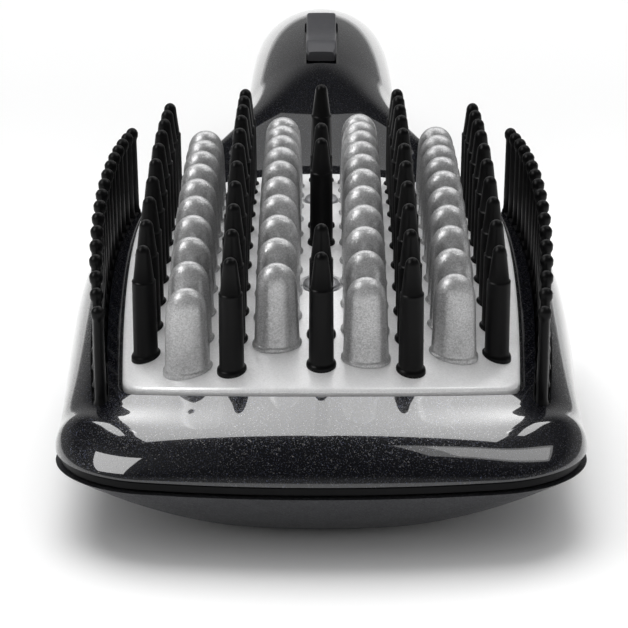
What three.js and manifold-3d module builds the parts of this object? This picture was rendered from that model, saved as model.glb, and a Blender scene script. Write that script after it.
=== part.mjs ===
// Heated smoothing brush: a paddle head with heated teeth and cool pins on a round, arched handle.
// Millimetres, +Z up. It lies on its back, bristles up, tip towards -Y.
// While it is built, y runs from 0 at the tip and z from 0 at the table.

import * as THREE from 'three';
import { mergeVertices } from 'three/addons/utils/BufferGeometryUtils.js';
import Module from 'manifold-3d';

const wasm = await Module();
wasm.setup();

// Driving dimensions

const CLEARANCE = 0.3;
const FACET_TOLERANCE = 0.085;

// How far a through cut reaches under and over the brushing face
const CUT_UNDER = -40;
const CUT_OVER = 5;

// Head outline in plan, at the seam
const FRONT_RADIUS = 140;
const CORNER_RADIUS = 16;
const HEAD_HALF_WIDTH_FRONT = 38;
const HEAD_HALF_WIDTH = 40;
const HEAD_WIDEST_Y = 78;
const SHOULDER_HALF_WIDTH = 27;
const SHOULDER_Y = 120;
const FAN_CENTRE_Y = 20;

// Handle
const HANDLE_RADIUS = 14.2;
const TAIL_RADIUS = 12.3;
const HANDLE_START_Y = 155;
const HANDLE_PEAK_Y = 180.6;
const HANDLE_PEAK_Z = 28.8;
const TAIL_Y = 275;
const TAIL_Z = 12.05;
const LOFT_OVERRUN = 8;

// Shells
const WALL = 2.2;
const CROWN_WALL = 3.6;
const SHOULDER_RADIUS = 5.4;
const SHOULDER_SQUARENESS = 2.3;
const HEAD_SEAM_Z = 12;
const SEAM_ABOVE_AXIS = 1.5;
const SEAM_RISE_START_Y = 78;
const SEAM_RISE_END_Y = 150;
const BAND_HEIGHT = 1.8;
const BAND_INSET = 0.7;
const BAND_WIDTH = 1.3;
const BELLY_BELOW_TABLE = 0.4;
const BELLY_END_Y = 72;
const SHELL_SCREW_FROM_BOARD = 5.9;
const SHELL_SCREW_FROM_TAIL = 35;
const SHELL_SCREW_ENGAGEMENT = 5;
const SCREW_SINK = 4;
const PILOT_DEPTH = 7;

// Brushing face: its own tilted frame, with its top at the frame's origin
const FACE_Y = 50.6;
const FACE_Z = 29.7;
const FACE_LEAN = THREE.MathUtils.degToRad(7.9);
const ARCH_RADIUS = 212.7;
const CROWN_RADIUS = 97;
const RING_BELOW_PLATE = 0.7;
const RING_END_Y = 110;

// The ring's front edge is flatter than the plate. It flattens between two distances from a
// centre in the head, with distances across the head counted in part.
const RIM_CROWN_RADIUS = 155;
const RIM_CENTRE_Y = 45;
const RIM_START = 33;
const RIM_END = 39.5;
const RIM_ACROSS = 0.7;

// Cover plate
const PLATE_THICKNESS = 1.5;
const PLATE_FRONT = -37.1;
const PLATE_BACK = 58;
const PLATE_FRONT_RADIUS = 62;
const PLATE_BACK_RADIUS = 100;
const PLATE_CORNER_RADIUS = 4.5;
const PLATE_HALF_WIDTH_FRONT = 28.8;
const PLATE_HALF_WIDTH = 31;
const PLATE_GAP = 0.5;
const LEDGE = 0.75;

// Pins and teeth
const ROW_PITCH = 6.4;
const PIN_PITCH = 7.94;
const PIN_START = -31;
const PIN_LENGTH = 17.5;
const PIN_RADIUS = 1.8;
const PIN_COLLAR_RADIUS = 2.15;
const PIN_TIP_RADIUS = 1;
const PIN_SIDES = 5;
const PIN_STRIP_WIDTH = 4.2;
const PIN_STRIP_HEIGHT = 2;
const TOOTH_PITCH = 7.535;
const TOOTH_OFFSET = 2;
const TOOTH_STAGGER = 5.9;
const TOOTH_HEIGHT = 12.6;
const TOOTH_WIDTH = 6.5;
const TOOTH_LENGTH = 5;
const TOOTH_BEAD = 0.3;
const TOOTH_SIDES = 7;
const COMB_ROOT_WIDTH = 4;
const FOOT_HEIGHT = 1;
const RAIL_PINS = 17;
const RAIL_PITCH = 5.2;
const RAIL_START = -31.5;
const RAIL_HEIGHT = 15.3;
const RAIL_PIN_RADIUS = 0.85;
const RAIL_BALL_RADIUS = 1.05;
const RAIL_BOW_RADIUS = 400;
const RAIL_BOW_CENTRE = 14;
const RAIL_HALF_SPAN = 34.2;
const RAIL_WIDTH = 2;
const RAIL_DEPTH = 2.3;

// Plate screws, at the fourth and ninth places of the centre row
const SCREW_HEAD_RADIUS = 3.15;
const SCREW_HEAD_HEIGHT = 1.5;
const SCREW_SHANK_RADIUS = 1.4;
const SCREW_RECESS_DEPTH = 0.8;
const PLATE_SCREW_PLACES = [3, 8];

// Heating stack, from the plate down
const SPREADER_THICKNESS = 1.8;
const SPREADER_INSET = 5;
const HEATER_WIDTH = 11;
const HEATER_LENGTH = 50;
const HEATER_THICKNESS = 1.4;
const HEATER_OFFSET = 9.5;
const PAD_FLOOR = -11;
const MICA_THICKNESS = 0.5;
const MICA_OVERLAP = 1;
const CLAMP_THICKNESS = 0.8;
const CLAMP_FLANGE = 2.4;
const STACK_WIDTH = 34;
const STACK_CENTRE = 10;
const CHASSIS_TOP = -18.5;
const CHASSIS_THICKNESS = 1.8;
const CHASSIS_WIDTH = 52;
const CHASSIS_LENGTH = 58;
const CHASSIS_CORNER = 6;
const CHASSIS_WINDOW = [6, 12, 2.5];
const RIB_WIDTH = 1.6;
const RIB_RISE = 2;
const EAR_INSET = 7.5;
const EAR_SPREAD = 24;
const EAR_STEP = 3.3;
const EAR_RADIUS = 3;
const BOSS_RADIUS = 3.6;
const POST_RADIUS = 2.6;
const SMALL_SCREW_RADIUS = 1.1;
const SMALL_HEAD_RADIUS = 2.2;
const SMALL_HEAD_HEIGHT = 1.4;
const SMALL_SCREW_LENGTH = 6;
const SCREW_SLOT = 0.7;
const FUSE_RADIUS = 1.7;
const FUSE_LENGTH = 10;
const THERMISTOR_RADIUS = 1.3;
const LEAD_WIRE_RADIUS = 0.4;
const LEAD_WIRE_LENGTH = 4;
const TERMINAL = [2, 5, 0.5];
const TERMINAL_OFFSET = 3;

// Slide switch on the handle
const SWITCH_Y = 168.9;
const SWITCH_TRAVEL = 6;
const KNOB_LENGTH = 30;
const KNOB_WIDTH = 5.8;
const KNOB_RISE = 1.7;
const CHANNEL_DEPTH = 2;
const CHANNEL_CORNER = 1.4;
const CHANNEL_SIDE_GAP = 0.4;
const KNOB_BEVEL = 0.5;
const KNOB_DISH = 1.1;
const STEM_LENGTH = 6.6;
const STEM_WIDTH = 2.6;
const STEM_FOOT = -7.4;
const NIB_LENGTH = 2.4;
const NIB_WIDTH = 2.4;
const NIB_TOP = -5;
const SHOE_WIDTH = 3.2;
const SHOE_LENGTH = 4.8;
const SHOE_HEIGHT = 1.8;
const SWITCH_LID = 1.3;
const SWITCH_BODY = [8, 15, 5.6];
const BOARD_WIDTH = 16;
const BOARD_LENGTH = 52;
const BOARD_THICKNESS = 1.6;
const BOARD_CORNER = 2;
const BOARD_TOP = -15.4;
const BOARD_RIB_WIDTH = 1.8;
const BOARD_RIB_INSET = 4;
const CAPACITOR = [9, 8, 7.5];
const CAPACITOR_PLACE = 17;
const TRIAC = [10, 4.5, 5.2];
const TRIAC_TAB = [1.2, 8, 1.2];
const TRIAC_PLACE = -22;

// Tail
const CAP_THICKNESS = 2.2;
const CAP_SPIGOT = 4;
const CAP_INSET = 0.4;
const CAP_PLAY = 1.4;
const CAP_CHAMFER = 1.2;
const SWIVEL_RADIUS = 4.5;
const SWIVEL_BORE = 2.6;
const SWIVEL_REACH = 7;
const SWIVEL_TAIL = 6;
const SWIVEL_FLANGE = [2, 2.4];
const SWIVEL_GROOVE = [1, 1.6];
const CLIP_THICKNESS = 1;
const CLIP_RADIUS = 6.9;

// Leads
const HEATER_LEAD_RADIUS = 0.8;
const MAINS_LEAD_RADIUS = 0.9;
const LEAD_FROM_STACK = 12;
const LEAD_UNDER_PADS = 5;
const LEAD_SPREAD = [8, 5];
const LEAD_FROM_BOARD = 0.5;

// Derived frames

const faceFrame = new THREE.Matrix4().makeRotationX(FACE_LEAN).setPosition(0, FACE_Y, FACE_Z);
const handleArcRadius = (TAIL_Y - HANDLE_PEAK_Y) ** 2 / (2 * (HANDLE_PEAK_Z - TAIL_Z));
const tailSlope = -Math.atan((TAIL_Y - HANDLE_PEAK_Y) / handleArcRadius);
const switchSlope = Math.atan((HANDLE_PEAK_Y - SWITCH_Y) / handleArcRadius);
const loftEndY = TAIL_Y + LOFT_OVERRUN;
const shellScrewPlaces = [
  SWITCH_Y - BOARD_LENGTH / 2 - SHELL_SCREW_FROM_BOARD,
  TAIL_Y - SHELL_SCREW_FROM_TAIL,
];

// Materials

function finish(color, roughness, metalness) {
  return new THREE.MeshStandardMaterial({ color, roughness, metalness });
}

const glossBlack = () => finish(0x0b0c12, 0.18, 0.2);
const greyMetallic = () => finish(0x4b4c50, 0.42, 0.6);
const silverPaint = () => finish(0xb9babd, 0.34, 0.75);
const matteBlack = () => finish(0x131315, 0.62, 0);
const satinBlack = () => finish(0x1b1c20, 0.4, 0);
const aluminium = () => finish(0xa8abb0, 0.45, 0.9);
const ceramic = () => finish(0xe4e0d6, 0.55, 0);
const mica = () => finish(0xb49a6a, 0.5, 0);
const steel = () => finish(0x8d9096, 0.3, 1);
const glassFilled = () => finish(0x2b2c2e, 0.7, 0);
const boardGreen = () => finish(0x1d4a2c, 0.5, 0);
const nylonWhite = () => finish(0xd9d7cf, 0.5, 0);
const capBrown = () => finish(0x7a3f22, 0.45, 0);
const leadInsulation = () => finish(0xc9c4b8, 0.6, 0);

// Solids

function solidFromTriangles(points, triangles) {
  const geometry = new THREE.BufferGeometry();
  geometry.setAttribute('position', new THREE.Float32BufferAttribute(points, 3));
  geometry.setIndex(triangles);
  return solid(geometry);
}

// Merges shared corners and drops the flat triangles that a lathe leaves at its poles
function solid(geometry) {
  const bare = geometry.clone();
  bare.deleteAttribute('normal');
  bare.deleteAttribute('uv');
  const merged = mergeVertices(bare, 1e-4);
  const index = merged.index.array;
  const kept = [];
  for (let i = 0; i < index.length; i += 3) {
    const [a, b, c] = [index[i], index[i + 1], index[i + 2]];
    if (a !== b && b !== c && a !== c) kept.push(a, b, c);
  }
  const mesh = new wasm.Mesh({
    numProp: 3,
    vertProperties: new Float32Array(merged.attributes.position.array),
    triVerts: new Uint32Array(kept),
  });
  mesh.merge();
  return new wasm.Manifold(mesh);
}

function geometryOf(manifold) {
  const mesh = manifold.getMesh();
  const geometry = new THREE.BufferGeometry();
  geometry.setAttribute('position', new THREE.BufferAttribute(mesh.vertProperties, 3));
  geometry.setIndex(new THREE.BufferAttribute(mesh.triVerts, 1));
  geometry.computeVertexNormals();
  return geometry;
}

function joined(solids) {
  return solids.reduce((sum, next) => sum.add(next));
}

function box(x0, x1, y0, y1, z0, z1) {
  const geometry = new THREE.BoxGeometry(x1 - x0, y1 - y0, z1 - z0);
  return solid(geometry.translate((x0 + x1) / 2, (y0 + y1) / 2, (z0 + z1) / 2));
}

function uprightCylinder(radius, x, y, z0, z1, sides = 10) {
  const geometry = new THREE.CylinderGeometry(radius, radius, z1 - z0, sides).rotateX(Math.PI / 2);
  return solid(geometry.translate(x, y, (z0 + z1) / 2));
}

// A turned solid about +Z: pairs of radius and height that start and end on the axis
function turned(profile, sides) {
  const points = profile.map(([r, z]) => new THREE.Vector2(r, z));
  return new THREE.LatheGeometry(points, sides).rotateX(Math.PI / 2);
}

function extrudedUp(shape, z0, z1, curveSegments = 6) {
  const options = { depth: z1 - z0, bevelEnabled: false, curveSegments };
  return solid(new THREE.ExtrudeGeometry(shape, options).translate(0, 0, z0));
}

function inFrame(manifold, matrix) {
  return solid(geometryOf(manifold).applyMatrix4(matrix));
}

// Form of the housing

const mix = (a, b, t) => a + (b - a) * t;

function smooth(edge0, edge1, y) {
  return THREE.MathUtils.smoothstep(y, edge0, edge1);
}

// Height of the brushing face in its own frame
function faceZ(x, u) {
  return -(u * u) / (2 * ARCH_RADIUS) - (x * x) / (2 * CROWN_RADIUS);
}

// Height of the head's arch over the table on the centre line
function archZ(y) {
  const u = (y - FACE_Y) / Math.cos(FACE_LEAN);
  return FACE_Z + u * Math.sin(FACE_LEAN) + faceZ(0, u) * Math.cos(FACE_LEAN);
}

function handleAxisZ(y) {
  return HANDLE_PEAK_Z - (y - HANDLE_PEAK_Y) ** 2 / (2 * handleArcRadius);
}

function handleRadius(y) {
  const along = Math.max(0, (y - HANDLE_START_Y) / (loftEndY - HANDLE_START_Y));
  return mix(HANDLE_RADIUS, TAIL_RADIUS, along ** 1.6);
}

// The throat between ring and handle, a cubic from the ring's rear to the handle's top
const throat = (() => {
  const start = new THREE.Vector2(RING_END_Y, archZ(RING_END_Y) - RING_BELOW_PLATE);
  const endY = HANDLE_START_Y - 5;
  const end = new THREE.Vector2(endY, handleAxisZ(endY) + HANDLE_RADIUS);
  const leave = new THREE.Vector2(start.x + 6, start.y - 0.8);
  const arrive = new THREE.Vector2(end.x - 18, end.y - 2.2);
  return new THREE.CubicBezierCurve(start, leave, arrive, end);
})();

function throatZ(y) {
  let low = 0;
  let high = 1;
  for (let i = 0; i < 30; i += 1) {
    const middle = (low + high) / 2;
    if (throat.getPoint(middle).x < y) low = middle;
    else high = middle;
  }
  return throat.getPoint(low).y;
}

function crownZ(y) {
  if (y < throat.v0.x) return archZ(y) - RING_BELOW_PLATE;
  if (y < throat.v3.x) return throatZ(y);
  return handleAxisZ(y) + handleRadius(y);
}

function topZ(x, y) {
  const headShare = 1 - smooth(RING_END_Y - 6, RING_END_Y + 26, y);
  const fromCentre = Math.hypot(RIM_ACROSS * x, Math.max(0, RIM_CENTRE_Y - y));
  const atRim = smooth(RIM_START, RIM_END, fromCentre);
  const curvature = mix(1 / CROWN_RADIUS, 1 / RIM_CROWN_RADIUS, atRim);
  return crownZ(y) - (headShare * curvature * x * x) / 2;
}

function seamZ(y) {
  const onHandle = handleAxisZ(y) + SEAM_ABOVE_AXIS;
  return mix(HEAD_SEAM_Z, onHandle, smooth(SEAM_RISE_START_Y, SEAM_RISE_END_Y, y));
}

function bellyZ(y) {
  const onHandle = handleAxisZ(y) - handleRadius(y);
  return mix(-BELLY_BELOW_TABLE, onHandle, smooth(BELLY_END_Y, HANDLE_START_Y, y));
}

function handleShare(y) {
  return smooth(RING_END_Y, HANDLE_START_Y - 5, y);
}

// Half of the outline in plan, from the tip's centre round the +X side to the tail
function halfOutline() {
  const cornerX = HEAD_HALF_WIDTH_FRONT - CORNER_RADIUS;
  const reach = FRONT_RADIUS - CORNER_RADIUS;
  const cornerY = FRONT_RADIUS - Math.sqrt(reach ** 2 - cornerX ** 2);
  const turn = Math.asin(cornerX / reach);
  const points = [];
  for (let i = 0; i <= 3; i += 1) {
    const a = (turn * i) / 3;
    points.push([FRONT_RADIUS * Math.sin(a), FRONT_RADIUS * (1 - Math.cos(a))]);
  }
  for (let i = 1; i <= 4; i += 1) {
    const a = mix(turn, Math.PI / 2, i / 4);
    points.push([cornerX + CORNER_RADIUS * Math.sin(a), cornerY - CORNER_RADIUS * Math.cos(a)]);
  }
  const widest = [HEAD_HALF_WIDTH, HEAD_WIDEST_Y];
  const shoulder = [SHOULDER_HALF_WIDTH, SHOULDER_Y];
  const root = [HANDLE_RADIUS, HANDLE_START_Y];
  const corner = [HEAD_HALF_WIDTH_FRONT, cornerY];
  addBezier(points, corner, [corner[0], cornerY + 20], [widest[0], widest[1] - 20], widest, 3);
  addBezier(points, widest, [widest[0], widest[1] + 18], [shoulder[0] + 7, shoulder[1] - 10], shoulder, 4);
  addBezier(points, shoulder, [shoulder[0] - 5.6, shoulder[1] + 8], [root[0], root[1] - 17], root, 4);
  const steps = 6;
  for (let i = 1; i <= steps; i += 1) {
    const y = mix(HANDLE_START_Y, loftEndY, i / steps);
    points.push([handleRadius(y), y]);
  }
  return points.map(([x, y]) => new THREE.Vector2(x, y));
}

function addBezier(points, a, b, c, d, steps) {
  const vectors = [a, b, c, d].map(([x, y]) => new THREE.Vector2(x, y));
  const curve = new THREE.CubicBezierCurve(...vectors);
  for (let i = 1; i <= steps; i += 1) {
    const p = curve.getPoint(i / steps);
    points.push([p.x, p.y]);
  }
}

// The outline moved inwards, with its inward normals. Hidden inner walls take every other point.
function insetOutline(inset, hidden = false) {
  const outline = halfOutline();
  const last = outline.length - 1;
  const points = outline.map((point, i) => {
    const before = outline[Math.max(0, i - 1)];
    const after = outline[Math.min(outline.length - 1, i + 1)];
    const along = after.clone().sub(before).normalize();
    const inward = i === 0 ? new THREE.Vector2(0, 1) : new THREE.Vector2(-along.y, along.x);
    return { x: point.x + inward.x * inset, y: point.y + inward.y * inset, inward };
  });
  return points.filter((point, i) => !hidden || i % 2 === 0 || i === last);
}

// Joins right-hand columns of points, mirrored to the left, into one closed solid. Each column
// starts at the seam and ends on the centre line.
function mirroredLoft(columns, upward) {
  const points = [];
  const triangles = [];
  const height = columns[0].length;
  const add = (column, side) => column.forEach((p) => points.push(side * p.x, p.y, p.z));
  columns.forEach((column) => add(column, 1));
  columns.forEach((column) => add(column, -1));
  const right = (i, k) => i * height + k;
  const left = (i, k) => (columns.length + i) * height + k;
  const quad = (a, b, c, d) => {
    if (upward) triangles.push(a, b, c, a, c, d);
    else triangles.push(a, c, b, a, d, c);
  };
  for (let i = 0; i < columns.length - 1; i += 1) {
    for (let k = 0; k < height - 1; k += 1) {
      quad(right(i, k), right(i + 1, k), right(i + 1, k + 1), right(i, k + 1));
      quad(left(i, k), left(i, k + 1), left(i + 1, k + 1), left(i + 1, k));
    }
    quad(right(i, 0), left(i, 0), left(i + 1, 0), right(i + 1, 0));
  }
  for (let k = 0; k < height - 1; k += 1) {
    const e = columns.length - 1;
    quad(right(e, k), left(e, k), left(e, k + 1), right(e, k + 1));
  }
  return solidFromTriangles(points, triangles);
}

// Solid of the upper half, shrunk by a wall at the sides and another at the crown
function upperSolid(wall, crownWall, below) {
  const steps = wall > 0 ? [0, 0.5, 1] : [0, 0.3, 0.55, 0.8, 1];
  const columns = insetOutline(wall, wall > 0).map((o) => {
    const share = handleShare(o.y);
    const width = mix(SHOULDER_RADIUS - wall * 0.6, handleRadius(o.y) - wall, share);
    const squareness = mix(SHOULDER_SQUARENESS, 2, share);
    const seam = seamZ(o.y) - below;
    const column = steps.map((step) => {
      const angle = (step * Math.PI) / 2;
      const inset = width * (1 - Math.cos(angle) ** (2 / squareness));
      const x = Math.max(0, o.x + o.inward.x * inset);
      const y = o.y + o.inward.y * inset;
      const rise = Math.max(0.2, topZ(x, y) - crownWall - seam);
      return new THREE.Vector3(x, y, seam + rise * Math.sin(angle) ** (2 / squareness));
    });
    column[0].set(o.x, o.y, seam);
    const last = column[steps.length - 1];
    const centreY = Math.max(o.y, FAN_CENTRE_Y);
    [0.5, 1].forEach((s) => {
      const x = mix(last.x, 0, s);
      const y = mix(last.y, centreY, s);
      column.push(new THREE.Vector3(x, y, topZ(x, y) - crownWall));
    });
    return column;
  });
  columns[0].forEach((p) => p.setX(0));
  return mirroredLoft(columns, true);
}

// Solid of the lower half: a shallow bowl under the head that turns into the handle's half round
function lowerSolid(wall, above) {
  const steps = wall > 0 ? 3 : 5;
  const columns = insetOutline(wall, wall > 0).map((o) => {
    const top = seamZ(o.y) - BAND_HEIGHT + above;
    const power = mix(1, 0.5, handleShare(o.y));
    const centreY = Math.max(o.y, FAN_CENTRE_Y);
    const column = [];
    for (let k = 0; k <= steps; k += 1) {
      const angle = ((Math.PI / 2) * k) / steps;
      const s = 1 - Math.cos(angle);
      const x = mix(o.x, 0, s);
      const y = mix(o.y, centreY, s);
      const floor = bellyZ(y) + wall;
      column.push(new THREE.Vector3(x, y, top - (top - floor) * Math.sin(angle) ** (2 * power)));
    }
    return column;
  });
  columns[0].forEach((p) => p.setX(0));
  return mirroredLoft(columns, false);
}

// A ring of constant height that follows the outline and the seam
function bandSolid(inset, low, high, hidden = false) {
  const columns = insetOutline(inset, hidden).map((o) => [
    new THREE.Vector3(o.x, o.y, seamZ(o.y) + low),
    new THREE.Vector3(o.x, o.y, seamZ(o.y) + high),
    new THREE.Vector3(0, Math.max(o.y, inset), seamZ(o.y) + high),
  ]);
  columns[0].forEach((p) => p.setX(0));
  return mirroredLoft(columns, true);
}

// The space behind the tail's slanted end
function behindTail(offset) {
  const size = 80;
  const geometry = new THREE.BoxGeometry(size, size, size).translate(0, size / 2 + offset, 0);
  geometry.applyMatrix4(tailFrame());
  return solid(geometry);
}

function tailFrame() {
  return new THREE.Matrix4().makeRotationX(tailSlope).setPosition(0, TAIL_Y, handleAxisZ(TAIL_Y));
}

function switchFrame() {
  return new THREE.Matrix4().makeRotationX(switchSlope).setPosition(0, SWITCH_Y, crownZ(SWITCH_Y));
}

// Brushing face pieces, in the face's own frame

function plateShape(grow) {
  const half = halfPlate(grow);
  const shape = new THREE.Shape(half.map((p) => p.clone()));
  const mirrored = half.slice(1, -1).reverse();
  mirrored.forEach((p) => shape.lineTo(-p.x, p.y));
  shape.closePath();
  return shape;
}

// Right-hand half of the plate's outline, from front centre to back centre, grown or shrunk
function halfPlate(grow) {
  const corner = Math.max(0.8, PLATE_CORNER_RADIUS + grow);
  const front = PLATE_FRONT_RADIUS + grow;
  const back = PLATE_BACK_RADIUS + grow;
  const wFront = PLATE_HALF_WIDTH_FRONT + grow;
  const wBack = PLATE_HALF_WIDTH + grow;
  const frontCentre = PLATE_FRONT + PLATE_FRONT_RADIUS;
  const backCentre = PLATE_BACK - PLATE_BACK_RADIUS;
  const points = [];
  const arc = (cx, cy, r, a0, a1, n) => {
    for (let i = 0; i <= n; i += 1) {
      const a = mix(a0, a1, i / n);
      points.push(new THREE.Vector2(cx + r * Math.sin(a), cy - r * Math.cos(a)));
    }
  };
  const frontX = wFront - corner;
  const frontTurn = Math.asin(frontX / (front - corner));
  const frontY = frontCentre - (front - corner) * Math.cos(frontTurn);
  arc(0, frontCentre, front, 0, frontTurn, 3);
  arc(frontX, frontY, corner, frontTurn, Math.PI / 2, 3);
  const backX = wBack - corner - 1;
  const backTurn = Math.asin(backX / (back - corner));
  const backY = backCentre + (back - corner) * Math.cos(backTurn);
  points.push(new THREE.Vector2(mix(wFront, wBack, 0.6), mix(frontY, backY, 0.4)));
  points.push(new THREE.Vector2(wBack, mix(frontY, backY, 0.75)));
  arc(backX, backY, corner, Math.PI / 2, Math.PI - backTurn, 3);
  arc(0, backCentre, back, Math.PI - backTurn, Math.PI, 3);
  const kept = points.filter((p, i) => i === 0 || p.distanceTo(points[i - 1]) > 1e-3);
  kept[0].x = 0;
  kept[kept.length - 1].x = 0;
  return kept;
}

// A slab bent to the brushing face: x0 to x1 by u0 to u1, with its top and floor below the face
function bentSlab(x0, x1, u0, u1, top, floor, nx, nu) {
  const geometry = new THREE.BoxGeometry(x1 - x0, u1 - u0, top - floor, nx, nu, 1);
  geometry.translate((x0 + x1) / 2, (u0 + u1) / 2, (top + floor) / 2);
  const position = geometry.attributes.position;
  for (let i = 0; i < position.count; i += 1) {
    const lift = faceZ(position.getX(i), position.getY(i));
    position.setZ(i, position.getZ(i) + lift);
  }
  return solid(geometry);
}

// Stands a turned pin or tooth on the face: its foot follows the face's slope, the rest is upright
function stood(geometry, x, u) {
  const position = geometry.attributes.position;
  for (let i = 0; i < position.count; i += 1) {
    const px = position.getX(i) + x;
    const pu = position.getY(i) + u;
    const z = position.getZ(i);
    position.setXYZ(i, px, pu, z + (z < FOOT_HEIGHT ? faceZ(px, pu) : faceZ(x, u)));
  }
  return solid(geometry);
}

function pinRows() {
  const full = [...Array(11).keys()];
  const short = full.slice(1);
  const centre = [0, 1, 5, 6, 10];
  return [short, full, centre, full, short].map((places, i) => ({
    x: (i - 2) * 2 * ROW_PITCH,
    places: places.map((n) => PIN_START + n * PIN_PITCH),
  }));
}

function toothRows() {
  const start = PIN_START + TOOTH_OFFSET;
  const late = PIN_START + TOOTH_STAGGER;
  return [[start, 10], [late, 10], [start, 11], [late, 10]].map(([first, count], i) => ({
    x: (2 * i - 3) * ROW_PITCH,
    places: [...Array(count).keys()].map((n) => first + n * TOOTH_PITCH),
  }));
}

function screwPlaces() {
  return PLATE_SCREW_PLACES.map((n) => PIN_START + n * PIN_PITCH);
}

function combSpan(row, grow) {
  const ends = TOOTH_LENGTH / 2 - 0.4 + grow;
  return [row.places[0] - ends, row.places[row.places.length - 1] + ends];
}

function coverPlate() {
  const w = PLATE_HALF_WIDTH + 1;
  const slab = bentSlab(-w, w, PLATE_FRONT - 1, PLATE_BACK + 1, 0, -PLATE_THICKNESS, 10, 7);
  let plate = slab.intersect(extrudedUp(plateShape(0), CUT_UNDER, CUT_OVER));
  const cuts = [];
  pinRows().forEach((row) => row.places.forEach((u) => {
    cuts.push(uprightCylinder(PIN_COLLAR_RADIUS + CLEARANCE, row.x, u, CUT_UNDER, CUT_OVER, PIN_SIDES));
  }));
  toothRows().forEach((row) => {
    const [u0, u1] = combSpan(row, CLEARANCE);
    const half = COMB_ROOT_WIDTH / 2 + CLEARANCE;
    cuts.push(box(row.x - half, row.x + half, u0, u1, CUT_UNDER, CUT_OVER));
  });
  screwPlaces().forEach((u) => {
    const floor = faceZ(0, u) - SCREW_RECESS_DEPTH;
    cuts.push(uprightCylinder(SCREW_HEAD_RADIUS + CLEARANCE, 0, u, floor, CUT_OVER, 10));
    cuts.push(uprightCylinder(SCREW_SHANK_RADIUS + CLEARANCE, 0, u, CUT_UNDER, CUT_OVER, 6));
  });
  cuts.forEach((cut) => {
    plate = plate.subtract(cut);
  });
  return plate;
}

// One heated row: a root bent to the plate, with an oval tooth and its bead at each place
function heatedComb(row) {
  const half = COMB_ROOT_WIDTH / 2;
  const [u0, u1] = combSpan(row, 0);
  const floor = -PLATE_THICKNESS - PIN_STRIP_HEIGHT - CLEARANCE;
  const root = bentSlab(row.x - half, row.x + half, u0, u1, CLEARANCE + 0.2, floor, 1, 5);
  const bead = TOOTH_LENGTH / 2 + TOOTH_BEAD;
  const foot = TOOTH_LENGTH / 2;
  const profile = [
    [0, CLEARANCE],
    [bead, CLEARANCE],
    [bead, CLEARANCE + 0.5],
    [foot * 0.94, TOOTH_HEIGHT * 0.62],
    [foot * 0.66, TOOTH_HEIGHT * 0.91],
    [0, TOOTH_HEIGHT],
  ];
  const teeth = row.places.map((u) => {
    const tooth = turned(profile, TOOTH_SIDES).scale(TOOTH_WIDTH / TOOTH_LENGTH, 1, 1);
    return stood(tooth, row.x, u);
  });
  return joined([root, ...teeth]);
}

// One cool row: a strip under the plate whose pins stand through the plate's holes
function pinRow(row) {
  const half = PIN_STRIP_WIDTH / 2;
  const top = -PLATE_THICKNESS - CLEARANCE;
  const ends = PIN_STRIP_WIDTH / 2;
  const u0 = row.places[0] - ends;
  const u1 = row.places[row.places.length - 1] + ends;
  let strip = bentSlab(row.x - half, row.x + half, u0, u1, top, top - PIN_STRIP_HEIGHT, 1, 5);
  const profile = [
    [0, top - 0.5],
    [PIN_COLLAR_RADIUS, top - 0.5],
    [PIN_COLLAR_RADIUS, 0.5],
    [PIN_RADIUS, 0.9],
    [PIN_RADIUS * 0.93, PIN_LENGTH * 0.69],
    [PIN_TIP_RADIUS, PIN_LENGTH * 0.965],
    [0, PIN_LENGTH],
  ];
  row.places.forEach((u) => {
    strip = strip.add(stood(turned(profile, PIN_SIDES), row.x, u));
  });
  if (row.x === 0) {
    screwPlaces().forEach((u) => {
      strip = strip.subtract(uprightCylinder(SCREW_SHANK_RADIUS + CLEARANCE, 0, u, CUT_UNDER, CUT_OVER, 8));
    });
  }
  return strip;
}

// Plan place of a rail's centre line
function railX(u) {
  return RAIL_HALF_SPAN - (u - RAIL_BOW_CENTRE) ** 2 / (2 * RAIL_BOW_RADIUS);
}

// Upright curved wall along a rail, between two heights below or above the ring's surface
function railWall(side, width, ends, top, floor) {
  const u0 = RAIL_START - ends;
  const u1 = RAIL_START + RAIL_PITCH * (RAIL_PINS - 1) + ends;
  const geometry = new THREE.BoxGeometry(width, u1 - u0, top - floor, 1, 6, 1);
  geometry.translate(0, (u0 + u1) / 2, (top + floor) / 2);
  const position = geometry.attributes.position;
  for (let i = 0; i < position.count; i += 1) {
    const u = position.getY(i);
    const x = position.getX(i) + railX(u);
    position.setXYZ(i, x, u, position.getZ(i) + faceZ(railX(u), u) - RING_BELOW_PLATE);
  }
  if (side < 0) return solid(mirroredInX(geometry));
  return solid(geometry);
}

function mirroredInX(geometry) {
  geometry.scale(-1, 1, 1);
  const index = geometry.index.array;
  for (let i = 0; i < index.length; i += 3) {
    [index[i + 1], index[i + 2]] = [index[i + 2], index[i + 1]];
  }
  return geometry;
}

function sideRail(side) {
  const wall = railWall(side, RAIL_WIDTH, RAIL_WIDTH / 2, -0.2, -RAIL_DEPTH);
  const profile = [
    [0, -0.8],
    [RAIL_PIN_RADIUS, -0.8],
    [RAIL_PIN_RADIUS * 0.9, RAIL_HEIGHT - 2 * RAIL_BALL_RADIUS],
    [RAIL_BALL_RADIUS, RAIL_HEIGHT - RAIL_BALL_RADIUS],
    [0, RAIL_HEIGHT],
  ];
  const pins = [...Array(RAIL_PINS).keys()].map((n) => {
    const u = RAIL_START + n * RAIL_PITCH;
    const z = faceZ(railX(u), u) - RING_BELOW_PLATE;
    return solid(turned(profile, 5).translate(side * railX(u), u, z));
  });
  return joined([wall, ...pins]);
}

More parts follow.
